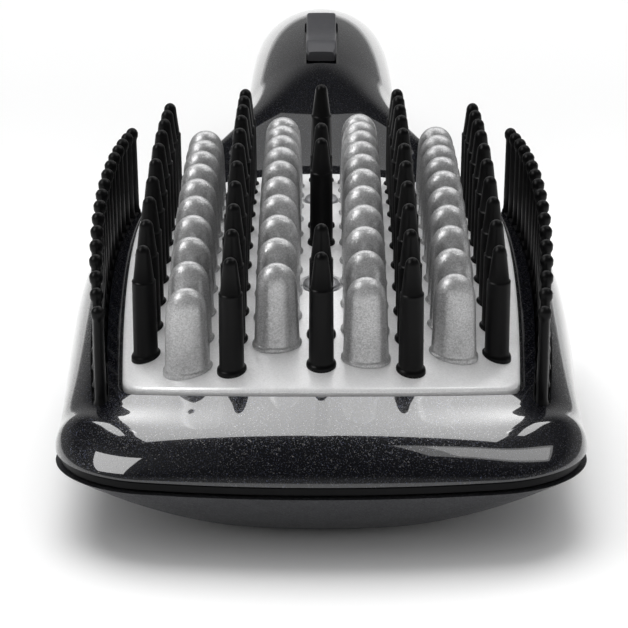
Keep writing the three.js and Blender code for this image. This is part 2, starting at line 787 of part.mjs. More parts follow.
// A pan-head screw along -Z: head above z = 0, shank below
function screwSolid(headRadius, headHeight, shankRadius, length, sides) {
  const head = turned([
    [0, -length],
    [shankRadius, -length + shankRadius],
    [shankRadius, 0],
    [headRadius, 0],
    [headRadius, headHeight * 0.55],
    [headRadius * 0.6, headHeight],
    [0, headHeight],
  ], sides);
  const half = SCREW_SLOT / 2;
  const slot = box(-headRadius, headRadius, -half, half, headHeight * 0.45, headHeight + 1);
  return solid(head).subtract(slot);
}

function plateScrew(u) {
  const seat = faceZ(0, u) - SCREW_RECESS_DEPTH + CLEARANCE;
  const length = seat - CHASSIS_TOP + CHASSIS_THICKNESS * 0.4;
  const screw = screwSolid(SCREW_HEAD_RADIUS, SCREW_HEAD_HEIGHT, SCREW_SHANK_RADIUS, length, 12);
  return solid(geometryOf(screw).translate(0, u, seat));
}

function screwBores(piece, radius) {
  const bore = (u) => uprightCylinder(radius, 0, u, CUT_UNDER, CUT_OVER, 8);
  return screwPlaces().reduce((sum, u) => sum.subtract(bore(u)), piece);
}

// Bent aluminium sheet with two flat-floored pads for the heaters
function heatSpreader() {
  const top = -PLATE_THICKNESS - PIN_STRIP_HEIGHT - 2 * CLEARANCE;
  const w = PLATE_HALF_WIDTH + 1;
  const floor = top - SPREADER_THICKNESS;
  const sheet = bentSlab(-w, w, PLATE_FRONT, PLATE_BACK, top, floor, 4, 5)
    .intersect(extrudedUp(plateShape(-SPREADER_INSET), CUT_UNDER, CUT_OVER));
  const half = HEATER_WIDTH / 2;
  const u0 = STACK_CENTRE - HEATER_LENGTH / 2;
  const u1 = STACK_CENTRE + HEATER_LENGTH / 2;
  const pads = [-1, 1].map((side) => {
    const x = side * HEATER_OFFSET;
    const column = box(x - half, x + half, u0, u1, PAD_FLOOR, CUT_OVER);
    const under = bentSlab(x - half - 1, x + half + 1, u0 - 1, u1 + 1, top - 0.6, -30, 1, 4);
    return column.intersect(under);
  });
  return screwBores(joined([sheet, ...pads]), SCREW_SHANK_RADIUS + CLEARANCE);
}

function ceramicHeater(side) {
  const x = side * HEATER_OFFSET;
  const half = HEATER_WIDTH / 2;
  const top = PAD_FLOOR - CLEARANCE;
  const length = HEATER_LENGTH / 2;
  const [u0, u1] = [STACK_CENTRE - length, STACK_CENTRE + length];
  const plate = box(x - half, x + half, u0, u1, top - HEATER_THICKNESS, top);
  const [w, reach, thick] = TERMINAL;
  const back = STACK_CENTRE + length + reach - 1;
  const terminals = [-1, 1].map((t) => {
    const at = x + t * TERMINAL_OFFSET;
    return box(at - w / 2, at + w / 2, back - reach, back, top - 2 * thick, top - thick);
  });
  return joined([plate, ...terminals]);
}

function stackTop(layer) {
  const mica = PAD_FLOOR - 2 * CLEARANCE - HEATER_THICKNESS;
  return layer === 'mica' ? mica : mica - MICA_THICKNESS - CLEARANCE;
}

function micaSheet() {
  const top = stackTop('mica');
  const half = HEATER_LENGTH / 2 + MICA_OVERLAP;
  const w = STACK_WIDTH / 2;
  const sheet = box(-w, w, STACK_CENTRE - half, STACK_CENTRE + half, top - MICA_THICKNESS, top);
  return screwBores(sheet, SCREW_SHANK_RADIUS + 0.8);
}

// Sheet-steel spring plate with two turned-down stiffening flanges
function clampPlate() {
  const top = stackTop('clamp');
  const half = HEATER_LENGTH / 2;
  const w = STACK_WIDTH / 2;
  const sheet = box(-w, w, STACK_CENTRE - half, STACK_CENTRE + half, top - CLAMP_THICKNESS, top);
  const flanges = [-1, 1].map((side) => box(
    side * w - CLAMP_THICKNESS / 2, side * w + CLAMP_THICKNESS / 2,
    STACK_CENTRE - half, STACK_CENTRE + half, top - CLAMP_FLANGE, top,
  ));
  return screwBores(joined([sheet, ...flanges]), SCREW_SHANK_RADIUS + CLEARANCE);
}

// The four ears of the carrier, front and rear, left and right. The front pair stands higher, where
// the bowl is shallower.
function chassisEars() {
  const ears = [
    { reach: HEAD_HALF_WIDTH_FRONT - EAR_INSET, u: STACK_CENTRE - EAR_SPREAD, top: CHASSIS_TOP + EAR_STEP },
    { reach: HEAD_HALF_WIDTH - EAR_INSET, u: STACK_CENTRE + EAR_SPREAD, top: CHASSIS_TOP },
  ];
  return ears.flatMap(({ reach, u, top }) => [-1, 1].map((side) => ({ x: side * reach, u, top, side })));
}

// Moulded carrier: a ribbed tray with two bosses under the clamp and an ear at each screw
function chassis() {
  const w = CHASSIS_WIDTH / 2;
  const l = CHASSIS_LENGTH / 2;
  const floor = CHASSIS_TOP - CHASSIS_THICKNESS;
  const shape = roundedRectangle(w, l, CHASSIS_CORNER);
  [-1, 1].forEach((side) => shape.holes.push(roundedHole((side * (w + RIB_WIDTH / 2)) / 2)));
  const tray = solid(geometryOf(extrudedUp(shape, floor, CHASSIS_TOP, 1)).translate(0, STACK_CENTRE, 0));
  const under = stackTop('clamp') - CLAMP_THICKNESS - CLEARANCE;
  const bosses = screwPlaces().map((u) => uprightCylinder(BOSS_RADIUS, 0, u, floor + 0.2, under, 7));
  const half = RIB_WIDTH / 2;
  const [u0, u1] = [STACK_CENTRE - l + 1, STACK_CENTRE + l - 1];
  const rib = box(-half, half, u0, u1, floor + 0.2, CHASSIS_TOP + RIB_RISE);
  const ears = chassisEars().map((ear) => chassisEar(ear, w, floor));
  let piece = screwBores(joined([tray, rib, ...bosses, ...ears]), SCREW_SHANK_RADIUS + CLEARANCE);
  chassisEars().forEach(({ x, u }) => {
    piece = piece.subtract(uprightCylinder(SMALL_SCREW_RADIUS + CLEARANCE, x, u, CUT_UNDER, CUT_OVER, 6));
  });
  return piece;
}

// A round ear, carried by a bracket that rises from the tray's edge where the ear is higher
function chassisEar({ x, u, top, side }, w, floor) {
  const under = top - CHASSIS_THICKNESS;
  const across = (a, b, z0, z1) => {
    const [x0, x1] = [side * a, side * b].sort((p, q) => p - q);
    return box(x0, x1, u - EAR_RADIUS, u + EAR_RADIUS, z0, z1);
  };
  const arm = across(w - CHASSIS_THICKNESS, side * x, under, top);
  const bracket = across(w - CHASSIS_THICKNESS, w, floor, top);
  return joined([uprightCylinder(EAR_RADIUS, x, u, under, top, 6), arm, bracket]);
}

function roundedRectangle(w, l, r) {
  const shape = new THREE.Shape();
  shape.moveTo(w, -l + r);
  shape.lineTo(w, l - r);
  shape.absarc(w - r, l - r, r, 0, Math.PI / 2);
  shape.absarc(-w + r, l - r, r, Math.PI / 2, Math.PI);
  shape.absarc(-w + r, -l + r, r, Math.PI, 1.5 * Math.PI);
  shape.absarc(w - r, -l + r, r, 1.5 * Math.PI, 2 * Math.PI);
  return shape;
}

function roundedHole(x) {
  const points = roundedRectangle(...CHASSIS_WINDOW).getPoints(1);
  return new THREE.Path(points.map((p) => new THREE.Vector2(p.x + x, p.y)).reverse());
}

function chassisScrew({ x, u, top }) {
  const seat = top - CHASSIS_THICKNESS - CLEARANCE;
  const screw = screwSolid(SMALL_HEAD_RADIUS, SMALL_HEAD_HEIGHT, SMALL_SCREW_RADIUS, SMALL_SCREW_LENGTH, 6);
  return solid(geometryOf(screw).rotateX(Math.PI).translate(x, u, seat));
}

// What lies along the clamp plate: a turned body with its axis along U
function alongClamp(profile, radius, x, u) {
  const z = stackTop('clamp') - CLAMP_THICKNESS - CLEARANCE - radius;
  return solid(turned(profile, 8).rotateX(Math.PI / 2).translate(x, u, z));
}

// Thermal cut-out with the stubs of its two leads
function thermalFuse() {
  const [r, half, wire] = [FUSE_RADIUS, FUSE_LENGTH / 2, LEAD_WIRE_RADIUS];
  const end = half + LEAD_WIRE_LENGTH;
  return alongClamp([
    [0, -end], [wire, -end], [wire, -half - wire], [r, -half], [r, half], [wire, half + wire],
    [wire, end], [0, end],
  ], r, -HEATER_OFFSET, STACK_CENTRE);
}

function thermistor() {
  const [r, wire] = [THERMISTOR_RADIUS, LEAD_WIRE_RADIUS];
  const end = 2 * r + LEAD_WIRE_LENGTH;
  return alongClamp([
    [0, -end], [wire, -end], [wire, -2 * r], [r, -r], [r, r], [r * 0.7, 2 * r], [0, 2.3 * r],
  ], r, HEATER_OFFSET, STACK_CENTRE - 4);
}

// Housing pieces

function placedInFace(manifold) {
  return inFrame(manifold, faceFrame);
}

function topHousing() {
  const outer = upperSolid(0, 0, 0);
  let shell = outer.subtract(upperSolid(WALL, CROWN_WALL, 1));
  shell = joined([shell, ...topPosts(outer)]);
  const ringFloor = -PLATE_THICKNESS - CLEARANCE;
  const w = PLATE_HALF_WIDTH + 6;
  const pocket = bentSlab(-w, w, PLATE_FRONT - 6, PLATE_BACK + 6, 12, ringFloor, 6, 6)
    .intersect(extrudedUp(plateShape(PLATE_GAP), -60, 60));
  const opening = extrudedUp(plateShape(-LEDGE), -26, 60);
  shell = shell.subtract(placedInFace(pocket)).subtract(placedInFace(opening));
  [-1, 1].forEach((side) => {
    const ends = RAIL_WIDTH / 2 + CLEARANCE;
    const slot = railWall(side, 2 * ends, ends, 8, -RAIL_DEPTH - CLEARANCE);
    shell = shell.subtract(placedInFace(slot));
  });
  shell = shell.subtract(inFrame(switchChannel(), switchFrame()));
  shell = shell.subtract(inFrame(switchSlot(), switchFrame()));
  shell = shell.subtract(behindTail(0));
  return shell.subtract(screwPilots());
}

// Posts that take the chassis screws and the housing screws, trimmed to the shell's outer form
function topPosts(outer) {
  const chassisPosts = chassisEars().map(({ x, u, top }) => (
    placedInFace(uprightCylinder(POST_RADIUS, x, u, top + CLEARANCE, 0, 6))
  ));
  const handlePosts = shellScrewPlaces.map((y) => (
    uprightCylinder(POST_RADIUS + 0.6, 0, y, seamZ(y) + 1, crownZ(y) - 0.4, 8)
  ));
  return [...chassisPosts, ...handlePosts].map((post) => post.intersect(outer));
}

function screwPilots() {
  const radius = SMALL_SCREW_RADIUS + CLEARANCE;
  const deep = SMALL_SCREW_LENGTH - CHASSIS_THICKNESS;
  const chassisPilots = chassisEars().map(({ x, u, top }) => (
    placedInFace(uprightCylinder(radius, x, u, top - 1, top + deep, 6))
  ));
  const housingPilots = shellScrewPlaces.map((y) => (
    uprightCylinder(radius, 0, y, seamZ(y), seamZ(y) + PILOT_DEPTH, 6)
  ));
  return joined([...chassisPilots, ...housingPilots]);
}

function switchChannel() {
  const half = KNOB_WIDTH / 2 + CHANNEL_SIDE_GAP;
  const back = KNOB_LENGTH / 2 + SWITCH_TRAVEL / 2 + CLEARANCE;
  return extrudedUp(roundedRectangle(half, back, CHANNEL_CORNER), -CHANNEL_DEPTH, 6, 2);
}

function switchSlot() {
  const half = STEM_WIDTH / 2 + CLEARANCE;
  const back = STEM_LENGTH / 2 + SWITCH_TRAVEL / 2 + CLEARANCE;
  return box(-half, half, -back, back, -9, 0);
}

function bottomHousing() {
  const outer = lowerSolid(0, 0);
  const shell = outer.subtract(lowerSolid(WALL, 1));
  const wide = HEAD_HALF_WIDTH + 20;
  const table = box(-wide, wide, -20, loftEndY + 20, -20, 0);
  const bosses = shellScrewPlaces.map((y) => (
    uprightCylinder(BOSS_RADIUS + 0.4, 0, y, 0, seamZ(y) - BAND_HEIGHT - 0.2, 8).intersect(outer)
  ));
  const ribs = boardRibs().map((rib) => rib.intersect(outer));
  let piece = joined([shell, ...bosses, ...ribs]).subtract(table).subtract(behindTail(0));
  shellScrewPlaces.forEach((y) => {
    const seat = housingScrewSeat(y);
    piece = piece.subtract(uprightCylinder(SMALL_HEAD_RADIUS + 0.4, 0, y, -5, seat, 10));
    piece = piece.subtract(uprightCylinder(SMALL_SCREW_RADIUS + CLEARANCE, 0, y, -5, seamZ(y) + 5, 6));
  });
  return piece;
}

function housingScrewSeat(y) {
  return bellyZ(y) + SCREW_SINK;
}

// Two cross ribs in the handle that carry the board
function boardRibs() {
  const under = BOARD_TOP - BOARD_THICKNESS - CLEARANCE;
  const half = BOARD_RIB_WIDTH / 2;
  const wide = HANDLE_RADIUS + 2;
  return [-1, 1].map((end) => {
    const v = end * (BOARD_LENGTH / 2 - BOARD_RIB_INSET);
    return inFrame(box(-wide, wide, v - half, v + half, -2 * HANDLE_RADIUS - 2, under), switchFrame());
  });
}

function seamBand() {
  const ring = bandSolid(BAND_INSET, -BAND_HEIGHT + CLEARANCE, -CLEARANCE)
    .subtract(bandSolid(BAND_INSET + BAND_WIDTH, -BAND_HEIGHT - 2, 2, true));
  return ring.subtract(behindTail(-0.4));
}

function housingScrew(y) {
  const seat = housingScrewSeat(y) - CLEARANCE;
  const length = seamZ(y) + SHELL_SCREW_ENGAGEMENT - seat;
  const screw = screwSolid(SMALL_HEAD_RADIUS, SMALL_HEAD_HEIGHT, SMALL_SCREW_RADIUS, length, 6);
  return solid(geometryOf(screw).rotateX(Math.PI).translate(0, y, seat));
}

// Switch pieces, in the switch's own frame at the middle of the channel. At rest the knob is at
// the rear of its travel.

function knob() {
  const shift = SWITCH_TRAVEL / 2;
  const half = KNOB_LENGTH / 2;
  const floor = -CHANNEL_DEPTH + CLEARANCE;
  const side = new THREE.Shape();
  side.moveTo(-half, floor);
  side.lineTo(half, floor);
  side.lineTo(half, 0.2);
  side.quadraticCurveTo(half - 1, KNOB_RISE, half - 5, KNOB_RISE);
  side.quadraticCurveTo(0, KNOB_RISE - KNOB_DISH, -half + 6, KNOB_RISE);
  side.quadraticCurveTo(-half + 2, KNOB_RISE + 0.2, -half, 0.1);
  side.closePath();
  const width = KNOB_WIDTH;
  const bevel = KNOB_BEVEL;
  const options = {
    depth: width - 2 * bevel, bevelThickness: bevel, bevelSize: bevel, bevelOffset: -bevel,
    bevelSegments: 1, curveSegments: 5,
  };
  const body = new THREE.ExtrudeGeometry(side, options).translate(0, 0, -width / 2 + bevel);
  body.rotateX(Math.PI / 2).rotateZ(Math.PI / 2);
  const prongs = [-1, 1].map((end) => {
    const inner = NIB_LENGTH / 2 + CLEARANCE;
    const [a, b] = [end * inner, (end * STEM_LENGTH) / 2];
    return box(-STEM_WIDTH / 2, STEM_WIDTH / 2, Math.min(a, b), Math.max(a, b), STEM_FOOT, floor + 0.4);
  });
  return solid(geometryOf(joined([solid(body), ...prongs])).translate(0, shift, 0));
}

function switchActuator() {
  const shift = SWITCH_TRAVEL / 2;
  const top = BOARD_TOP + CLEARANCE + SWITCH_BODY[2] - SWITCH_LID - CLEARANCE;
  const [nibW, nibL] = [NIB_WIDTH / 2, NIB_LENGTH / 2];
  const [shoeW, shoeL] = [SHOE_WIDTH / 2, SHOE_LENGTH / 2];
  const nib = box(-nibW, nibW, shift - nibL, shift + nibL, top - 0.4, NIB_TOP);
  const shoe = box(-shoeW, shoeW, shift - shoeL, shift + shoeL, top - SHOE_HEIGHT, top);
  return joined([nib, shoe]);
}

// Switch case with the well in which the shoe slides and the mouth that the nib comes out of
function switchBody() {
  const [w, l, h] = SWITCH_BODY;
  const floor = BOARD_TOP + CLEARANCE;
  const top = floor + h;
  const body = box(-w / 2, w / 2, -l / 2, l / 2, floor, top);
  const reach = SWITCH_TRAVEL / 2 + CLEARANCE;
  const [wellW, wellL] = [SHOE_WIDTH / 2 + CLEARANCE, reach + SHOE_LENGTH / 2];
  const [mouthW, mouthL] = [NIB_WIDTH / 2 + CLEARANCE, reach + NIB_LENGTH / 2];
  const lid = top - SWITCH_LID;
  const well = box(-wellW, wellW, -wellL, wellL, lid - SHOE_HEIGHT - 2 * CLEARANCE, lid);
  const mouth = box(-mouthW, mouthW, -mouthL, mouthL, lid - 1, top + 1);
  return body.subtract(well).subtract(mouth);
}

function controlBoard() {
  const shape = roundedRectangle(BOARD_WIDTH / 2, BOARD_LENGTH / 2, BOARD_CORNER);
  return extrudedUp(shape, BOARD_TOP - BOARD_THICKNESS, BOARD_TOP, 2);
}

function filmCapacitor() {
  const [w, l, h] = CAPACITOR;
  const can = extrudedUp(roundedRectangle(w / 2, l / 2, 1), 0, h, 2);
  return solid(geometryOf(can).translate(0, CAPACITOR_PLACE, BOARD_TOP + CLEARANCE));
}

// Power switch: a moulded case before an upright tab with a hole
function triac() {
  const [w, l, h] = TRIAC;
  const [thick, height, hole] = TRIAC_TAB;
  const floor = BOARD_TOP + CLEARANCE;
  const back = TRIAC_PLACE + l;
  const body = box(-w / 2, w / 2, TRIAC_PLACE, back, floor, floor + h);
  const tab = box(-w / 2, w / 2, back - 0.6, back - 0.6 + thick, floor, floor + height);
  const through = new THREE.Matrix4().makeRotationX(Math.PI / 2).setPosition(0, back, floor + height - 1.4);
  return joined([body, tab]).subtract(inFrame(uprightCylinder(hole, 0, 0, -4, 4, 6), through));
}

// Tail pieces, turned about the tail's axis: heights run along the axis, outwards from the end face

function turnedAlongTail(profile, sides) {
  return solid(turned(profile, sides).rotateX(-Math.PI / 2));
}

function tailCap() {
  const rim = handleRadius(TAIL_Y) - CAP_INSET;
  const plug = handleRadius(TAIL_Y) - CROWN_WALL - CAP_PLAY;
  const bore = SWIVEL_RADIUS + CLEARANCE;
  const face = CLEARANCE;
  return turnedAlongTail([
    [bore, -CAP_SPIGOT], [plug, -CAP_SPIGOT], [plug, face], [rim, face],
    [rim, face + CAP_THICKNESS * 0.6], [rim - CAP_CHAMFER, face + CAP_THICKNESS],
    [bore, face + CAP_THICKNESS], [bore, -CAP_SPIGOT],
  ], 16);
}

// Bushing that the cord turns in: flange and clip groove inside the cap, tapered nose outside
function cordSwivel() {
  const face = CLEARANCE + CAP_THICKNESS;
  const [flangeRise, flangeThick] = SWIVEL_FLANGE;
  const [grooveDepth, grooveWidth] = SWIVEL_GROOVE;
  const flange = -CAP_SPIGOT - CLEARANCE;
  const groove = flange - flangeThick;
  const end = flange - SWIVEL_TAIL;
  const r = SWIVEL_RADIUS;
  return turnedAlongTail([
    [SWIVEL_BORE, end], [r, end], [r, groove - grooveWidth], [r - grooveDepth, groove - grooveWidth],
    [r - grooveDepth, groove], [r + flangeRise, groove], [r + flangeRise, flange], [r, flange],
    [r, face + 1], [r - 0.5, face + SWIVEL_REACH - 1], [r - 1.2, face + SWIVEL_REACH],
    [SWIVEL_BORE, face + SWIVEL_REACH], [SWIVEL_BORE, end],
  ], 10);
}

function swivelClip() {
  const inner = SWIVEL_RADIUS - SWIVEL_GROOVE[0] + CLEARANCE;
  const top = -CAP_SPIGOT - CLEARANCE - SWIVEL_FLANGE[1] - CLEARANCE;
  const floor = top - CLIP_THICKNESS;
  return turnedAlongTail([
    [inner, floor], [CLIP_RADIUS, floor], [CLIP_RADIUS, top], [inner, top], [inner, floor],
  ], 10);
}

// Leads inside the housing

function lead(points, radius) {
  const path = new THREE.CatmullRomCurve3(points.map(([x, y, z]) => new THREE.Vector3(x, y, z)));
  const section = new THREE.Shape();
  section.absarc(0, 0, radius, 0, 2 * Math.PI);
  const options = { steps: 8, curveSegments: 2, extrudePath: path, bevelEnabled: false };
  return solid(new THREE.ExtrudeGeometry(section, options));
}

// From behind the heaters up through the throat to the front edge of the board
function heaterLead(side) {
  const behindStack = STACK_CENTRE + HEATER_LENGTH / 2 + LEAD_FROM_STACK;
  const [wide, narrow] = LEAD_SPREAD;
  const boardEdge = -BOARD_LENGTH / 2 - LEAD_FROM_BOARD;
  const start = new THREE.Vector3(side * wide, behindStack, PAD_FLOOR - LEAD_UNDER_PADS).applyMatrix4(faceFrame);
  const end = new THREE.Vector3(side * narrow, boardEdge, BOARD_TOP).applyMatrix4(switchFrame());
  const rise = [0, 0.05, 0.33, 0.74, 1];
  return lead(rise.map((share, i) => {
    const t = i / (rise.length - 1);
    return [mix(start.x, end.x, t), mix(start.y, end.y, t), mix(start.z, end.z, share)];
  }), HEATER_LEAD_RADIUS);
}

// From the rear edge of the board, round the screw boss, to the bushing
function mainsLead(side) {
  const start = SWITCH_Y + BOARD_LENGTH / 2 + 1.5;
  const end = TAIL_Y - CAP_SPIGOT - SWIVEL_TAIL - 9;
  const route = [[4, -2.1], [5, -2], [6, -1.5], [6.4, -1.6], [5.6, -1.4], [2.6, -0.7]];
  return lead(route.map(([x, z], i) => {
    const y = mix(start, end, i / (route.length - 1));
    return [side * x, y, handleAxisZ(y) + z];
  }), MAINS_LEAD_RADIUS);
}

// Assembly

const brush = new THREE.Group();
const headGroup = new THREE.Group();
const switchGroup = new THREE.Group();
const tailGroup = new THREE.Group();
headGroup.applyMatrix4(faceFrame);
switchGroup.applyMatrix4(switchFrame());
tailGroup.applyMatrix4(tailFrame());
brush.add(headGroup, switchGroup, tailGroup);

function place(name, manifold, material, parent = brush) {
  const mesh = new THREE.Mesh(geometryOf(manifold.asOriginal().simplify(FACET_TOLERANCE)), material);
  mesh.name = name;
  parent.add(mesh);
}

place('top_housing', topHousing(), glossBlack());
place('bottom_housing', bottomHousing(), greyMetallic());
place('seam_band', seamBand(), satinBlack());

place('cover_plate', coverPlate(), silverPaint(), headGroup);
toothRows().forEach((row, i) => {
  place(`heated_comb_${i + 1}`, heatedComb(row), silverPaint(), headGroup);
});
pinRows().forEach((row, i) => {
  place(`bristle_row_${i + 1}`, pinRow(row), matteBlack(), headGroup);
});
place('side_rail_left', sideRail(-1), matteBlack(), headGroup);
place('side_rail_right', sideRail(1), matteBlack(), headGroup);
screwPlaces().forEach((u, i) => {
  place(`plate_screw_${i + 1}`, plateScrew(u), steel(), headGroup);
});

place('heat_spreader', heatSpreader(), aluminium(), headGroup);
place('ceramic_heater_left', ceramicHeater(-1), ceramic(), headGroup);
place('ceramic_heater_right', ceramicHeater(1), ceramic(), headGroup);
place('mica_insulator', micaSheet(), mica(), headGroup);
place('clamp_plate', clampPlate(), steel(), headGroup);
place('thermal_fuse', thermalFuse(), steel(), headGroup);
place('thermistor', thermistor(), nylonWhite(), headGroup);
place('chassis', chassis(), glassFilled(), headGroup);
chassisEars().forEach((ear, i) => {
  place(`chassis_screw_${i + 1}`, chassisScrew(ear), steel(), headGroup);
});

place('switch_knob', knob(), satinBlack(), switchGroup);
place('switch_actuator', switchActuator(), nylonWhite(), switchGroup);
place('switch_body', switchBody(), glassFilled(), switchGroup);
place('control_board', controlBoard(), boardGreen(), switchGroup);
place('film_capacitor', filmCapacitor(), capBrown(), switchGroup);
place('triac', triac(), glassFilled(), switchGroup);

place('tail_cap', tailCap(), satinBlack(), tailGroup);
place('cord_swivel', cordSwivel(), matteBlack(), tailGroup);
place('swivel_clip', swivelClip(), steel(), tailGroup);

shellScrewPlaces.forEach((y, i) => {
  place(`housing_screw_${i + 1}`, housingScrew(y), steel());
});
[-1, 1].forEach((side, i) => {
  place(`heater_lead_${i + 1}`, heaterLead(side), leadInsulation());
  place(`mains_lead_${i + 1}`, mainsLead(side), leadInsulation());
});

// The origin goes to the middle of the footprint
brush.updateMatrixWorld(true);
const extent = new THREE.Box3().setFromObject(brush, true);
brush.position.y = -(extent.min.y + extent.max.y) / 2;

export default brush;
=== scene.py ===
"""Looks of the heated smoothing brush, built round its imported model.

Shapes are worked out in millimetres with y = 0 at the tip of the head and z = 0 on the table, and
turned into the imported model's metres as the last step.
"""

import math

import bmesh
import bpy
from mathutils import Matrix, Vector


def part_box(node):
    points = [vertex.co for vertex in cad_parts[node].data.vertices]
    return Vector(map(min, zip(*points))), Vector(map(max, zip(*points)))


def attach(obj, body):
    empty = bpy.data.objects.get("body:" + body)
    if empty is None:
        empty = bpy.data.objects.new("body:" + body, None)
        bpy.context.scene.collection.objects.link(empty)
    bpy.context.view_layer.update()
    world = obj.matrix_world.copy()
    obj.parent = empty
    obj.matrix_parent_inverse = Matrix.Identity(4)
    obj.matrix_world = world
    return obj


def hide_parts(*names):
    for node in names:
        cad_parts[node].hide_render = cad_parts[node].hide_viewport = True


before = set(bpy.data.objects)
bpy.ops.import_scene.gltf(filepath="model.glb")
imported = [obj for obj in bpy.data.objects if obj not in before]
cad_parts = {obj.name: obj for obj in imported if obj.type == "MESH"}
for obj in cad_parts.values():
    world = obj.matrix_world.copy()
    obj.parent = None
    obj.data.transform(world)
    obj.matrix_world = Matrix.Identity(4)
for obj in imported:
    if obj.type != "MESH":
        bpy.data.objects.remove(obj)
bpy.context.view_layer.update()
TIP_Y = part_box("bottom_housing")[0].y
CLEARANCE = 0.3

# Plan of the housing; a lead goes from an end of a curve to its handle
FRONT_RADIUS = 140
CORNER_RADIUS = 16
HEAD_HALF_FRONT = 38
HEAD_HALF = 40
HEAD_WIDEST_Y = 78
SHOULDER_HALF = 27
SHOULDER_Y = 120
HANDLE_START = 155
TAIL_Y = 275
LOFT_END = 283
HANDLE_RADIUS = 14.2
TAIL_RADIUS = 12.3
TAPER_POWER = 1.6
CORNER_LEAD = (0, 20)
WIDEST_LEAD_IN = (0, -20)
WIDEST_LEAD_OUT = (0, 18)
SHOULDER_LEAD_IN = (7, -10)
SHOULDER_LEAD_OUT = (-5.6, 8)
ROOT_LEAD = (0, -17)
FRONT_STEPS = 4
CORNER_STEPS = 5
SIDE_STEPS = 5
HANDLE_STEPS = 10

# Heights and sections of the housing
PEAK_Y = 180.6
PEAK_Z = 28.8
ARC_RADIUS = 266
FAN_Y = 20
WALL = 2.2
CROWN_WALL = 3.6
SHOULDER_RADIUS = 5.4
INNER_SHOULDER = 0.6
SQUARENESS = 2.05
LEAST_RISE = 0.2
NEAR_AXIS = 0.05
SEAM_Z = 12
SEAM_ABOVE_AXIS = 1.5
SEAM_RISE = (78, 150)
BAND_HEIGHT = 1.8
BAND_INSET = 0.7
BAND_WIDTH = 1.3
BAND_EDGE = 0.15
BAND_SHORT = 0.4
BAND_CUT = 2
BELLY_BELOW = 0.4
BELLY_END = 72
FINE = 6
HOLLOW_OVERLAP = 1

# Face that carries teeth and pins, and the bezel round it
FACE_Y = 50.6
FACE_Z = 29.7
FACE_LEAN = math.radians(7.9)
ARCH_RADIUS = 212.7
CROWN_RADIUS = 97
RING_BELOW = 0.7
RING_END = 110
RIM_CROWN_RADIUS = 155
RIM_CENTRE_Y = 45
RIM_SPAN = (33, 39.5)
RIM_ACROSS = 0.7
CROWN_FADE = (RING_END - 6, RING_END + 26)
THROAT_END = HANDLE_START - 5
THROAT_LEAD_OUT = (6, -0.8)
THROAT_LEAD_IN = (-18, -2.2)
BISECTIONS = 30

# Cover plate
PLATE_FRONT = -37.1
PLATE_BACK = 58
PLATE_FRONT_R = 62
PLATE_BACK_R = 100
PLATE_CORNER = 4.5
PLATE_LEAST_CORNER = 0.8
PLATE_HALF_FRONT = 28.8
PLATE_HALF = 31
PLATE_BACK_IN = 1
PLATE_SIDE_WIDTH = 0.75
PLATE_SIDE_LEADS = (0.33, 0.66)
PLATE_THICKNESS = 1.5
PLATE_GAP = 0.5
PLATE_EDGE = 0.55
PLATE_END_STEPS = 14
PLATE_CORNER_STEPS = 8
PLATE_SIDE_STEPS = 22
POCKET_LIP = 0.35
POCKET_TOP = 12
OPENING_SPAN = (-26, 2)
LEDGE = 0.75

# Pins, teeth and rails; a row of teeth has its start behind the first pin, and a count, and a
# bar its half width and top
ROW_PITCH = 6.4
PIN_PITCH = 7.94
PIN_START = -31
PIN_LENGTH = 17.5
PIN_SIDES = 28
FULL_ROW = tuple(range(11))
CENTRE_ROW = (0, 1, 5, 6, 10)
PIN_ROWS = (FULL_ROW[1:], FULL_ROW, CENTRE_ROW, FULL_ROW, FULL_ROW[1:])
TOOTH_PITCH = 7.535
TOOTH_HEIGHT = 12.6
TOOTH_OVAL = 1.3
TOOTH_SIDES = 40
TOOTH_ROWS = ((2, 10), (5.9, 10), (2, 11), (5.9, 10))
FOOT_HEIGHT = 1
BAR_END = 2.1
BAR_FLOOR = -3.8
BAR_STEPS = 24
PIN_BAR = (2.1, -1.8)
TOOTH_BAR = (2, -0.2)
RAIL_PINS = 17
RAIL_PITCH = 5.2
RAIL_START = -31.5
RAIL_HEIGHT = 15.3
RAIL_HALF_SPAN = 34.2
RAIL_BOW = 400
RAIL_BOW_CENTRE = 14
RAIL_WIDTH = 2
RAIL_DEPTH = 2.3
RAIL_TOP = -0.08
RAIL_SHOULDER = -0.35
RAIL_BEVEL = 0.3
RAIL_STEPS = 60
RAIL_LEAST_TAPER = 0.02
RAIL_PIN_SIDES = 18
SLOT_TOP = 8

# Plate screws: a recess, a bore and a six-lobed socket, whose loops are (radius, height)
SCREW_PLACES = (3, 8)
RECESS_DEPTH = 0.8
RECESS_STEP = 0.4
RECESS_RADII = (3.05, 3.45, 3.75)
RECESS_RISES = (0.02, 4)
BORE_RADIUS = 1.7
BORE_FLOOR = -12
SCREW_SIDES = 48
SOCKET_LOOPS = ((1.55, -0.6), (1.75, 0.7), (1.95, 1.4))
SOCKET_LOBES = 6
LOBE_STEPS = 8
LOBE_DEPTH = 0.16

# Switch; the stem's slot is its half width, half length and depth
SWITCH_Y = 168.9
TRAVEL = 6
KNOB_LENGTH = 30
KNOB_WIDTH = 5.8
KNOB_RISE = 1.7
KNOB_HOLLOW = 1.05
KNOB_END = 3.2
KNOB_EDGE = 0.45
KNOB_STEPS = 60
KNOB_END_RISE = 0.1
KNOB_END_POWER = 0.6
KNOB_END_IN = 0.5
KNOB_DISH_END = 0.55
KNOB_BEVEL = 0.135
KNOB_CROWN = 0.05
KNOB_CROWN_SHARE = 0.4
CHANNEL_DEPTH = 2
CHANNEL_GAP = 0.4
CHANNEL_CORNER = 1.4
CHANNEL_LIP = 0.45
CHANNEL_TOP = 6
RECTANGLE_CORNER_STEPS = 8
STEM_SLOT = (1.6, 6.6, 9)

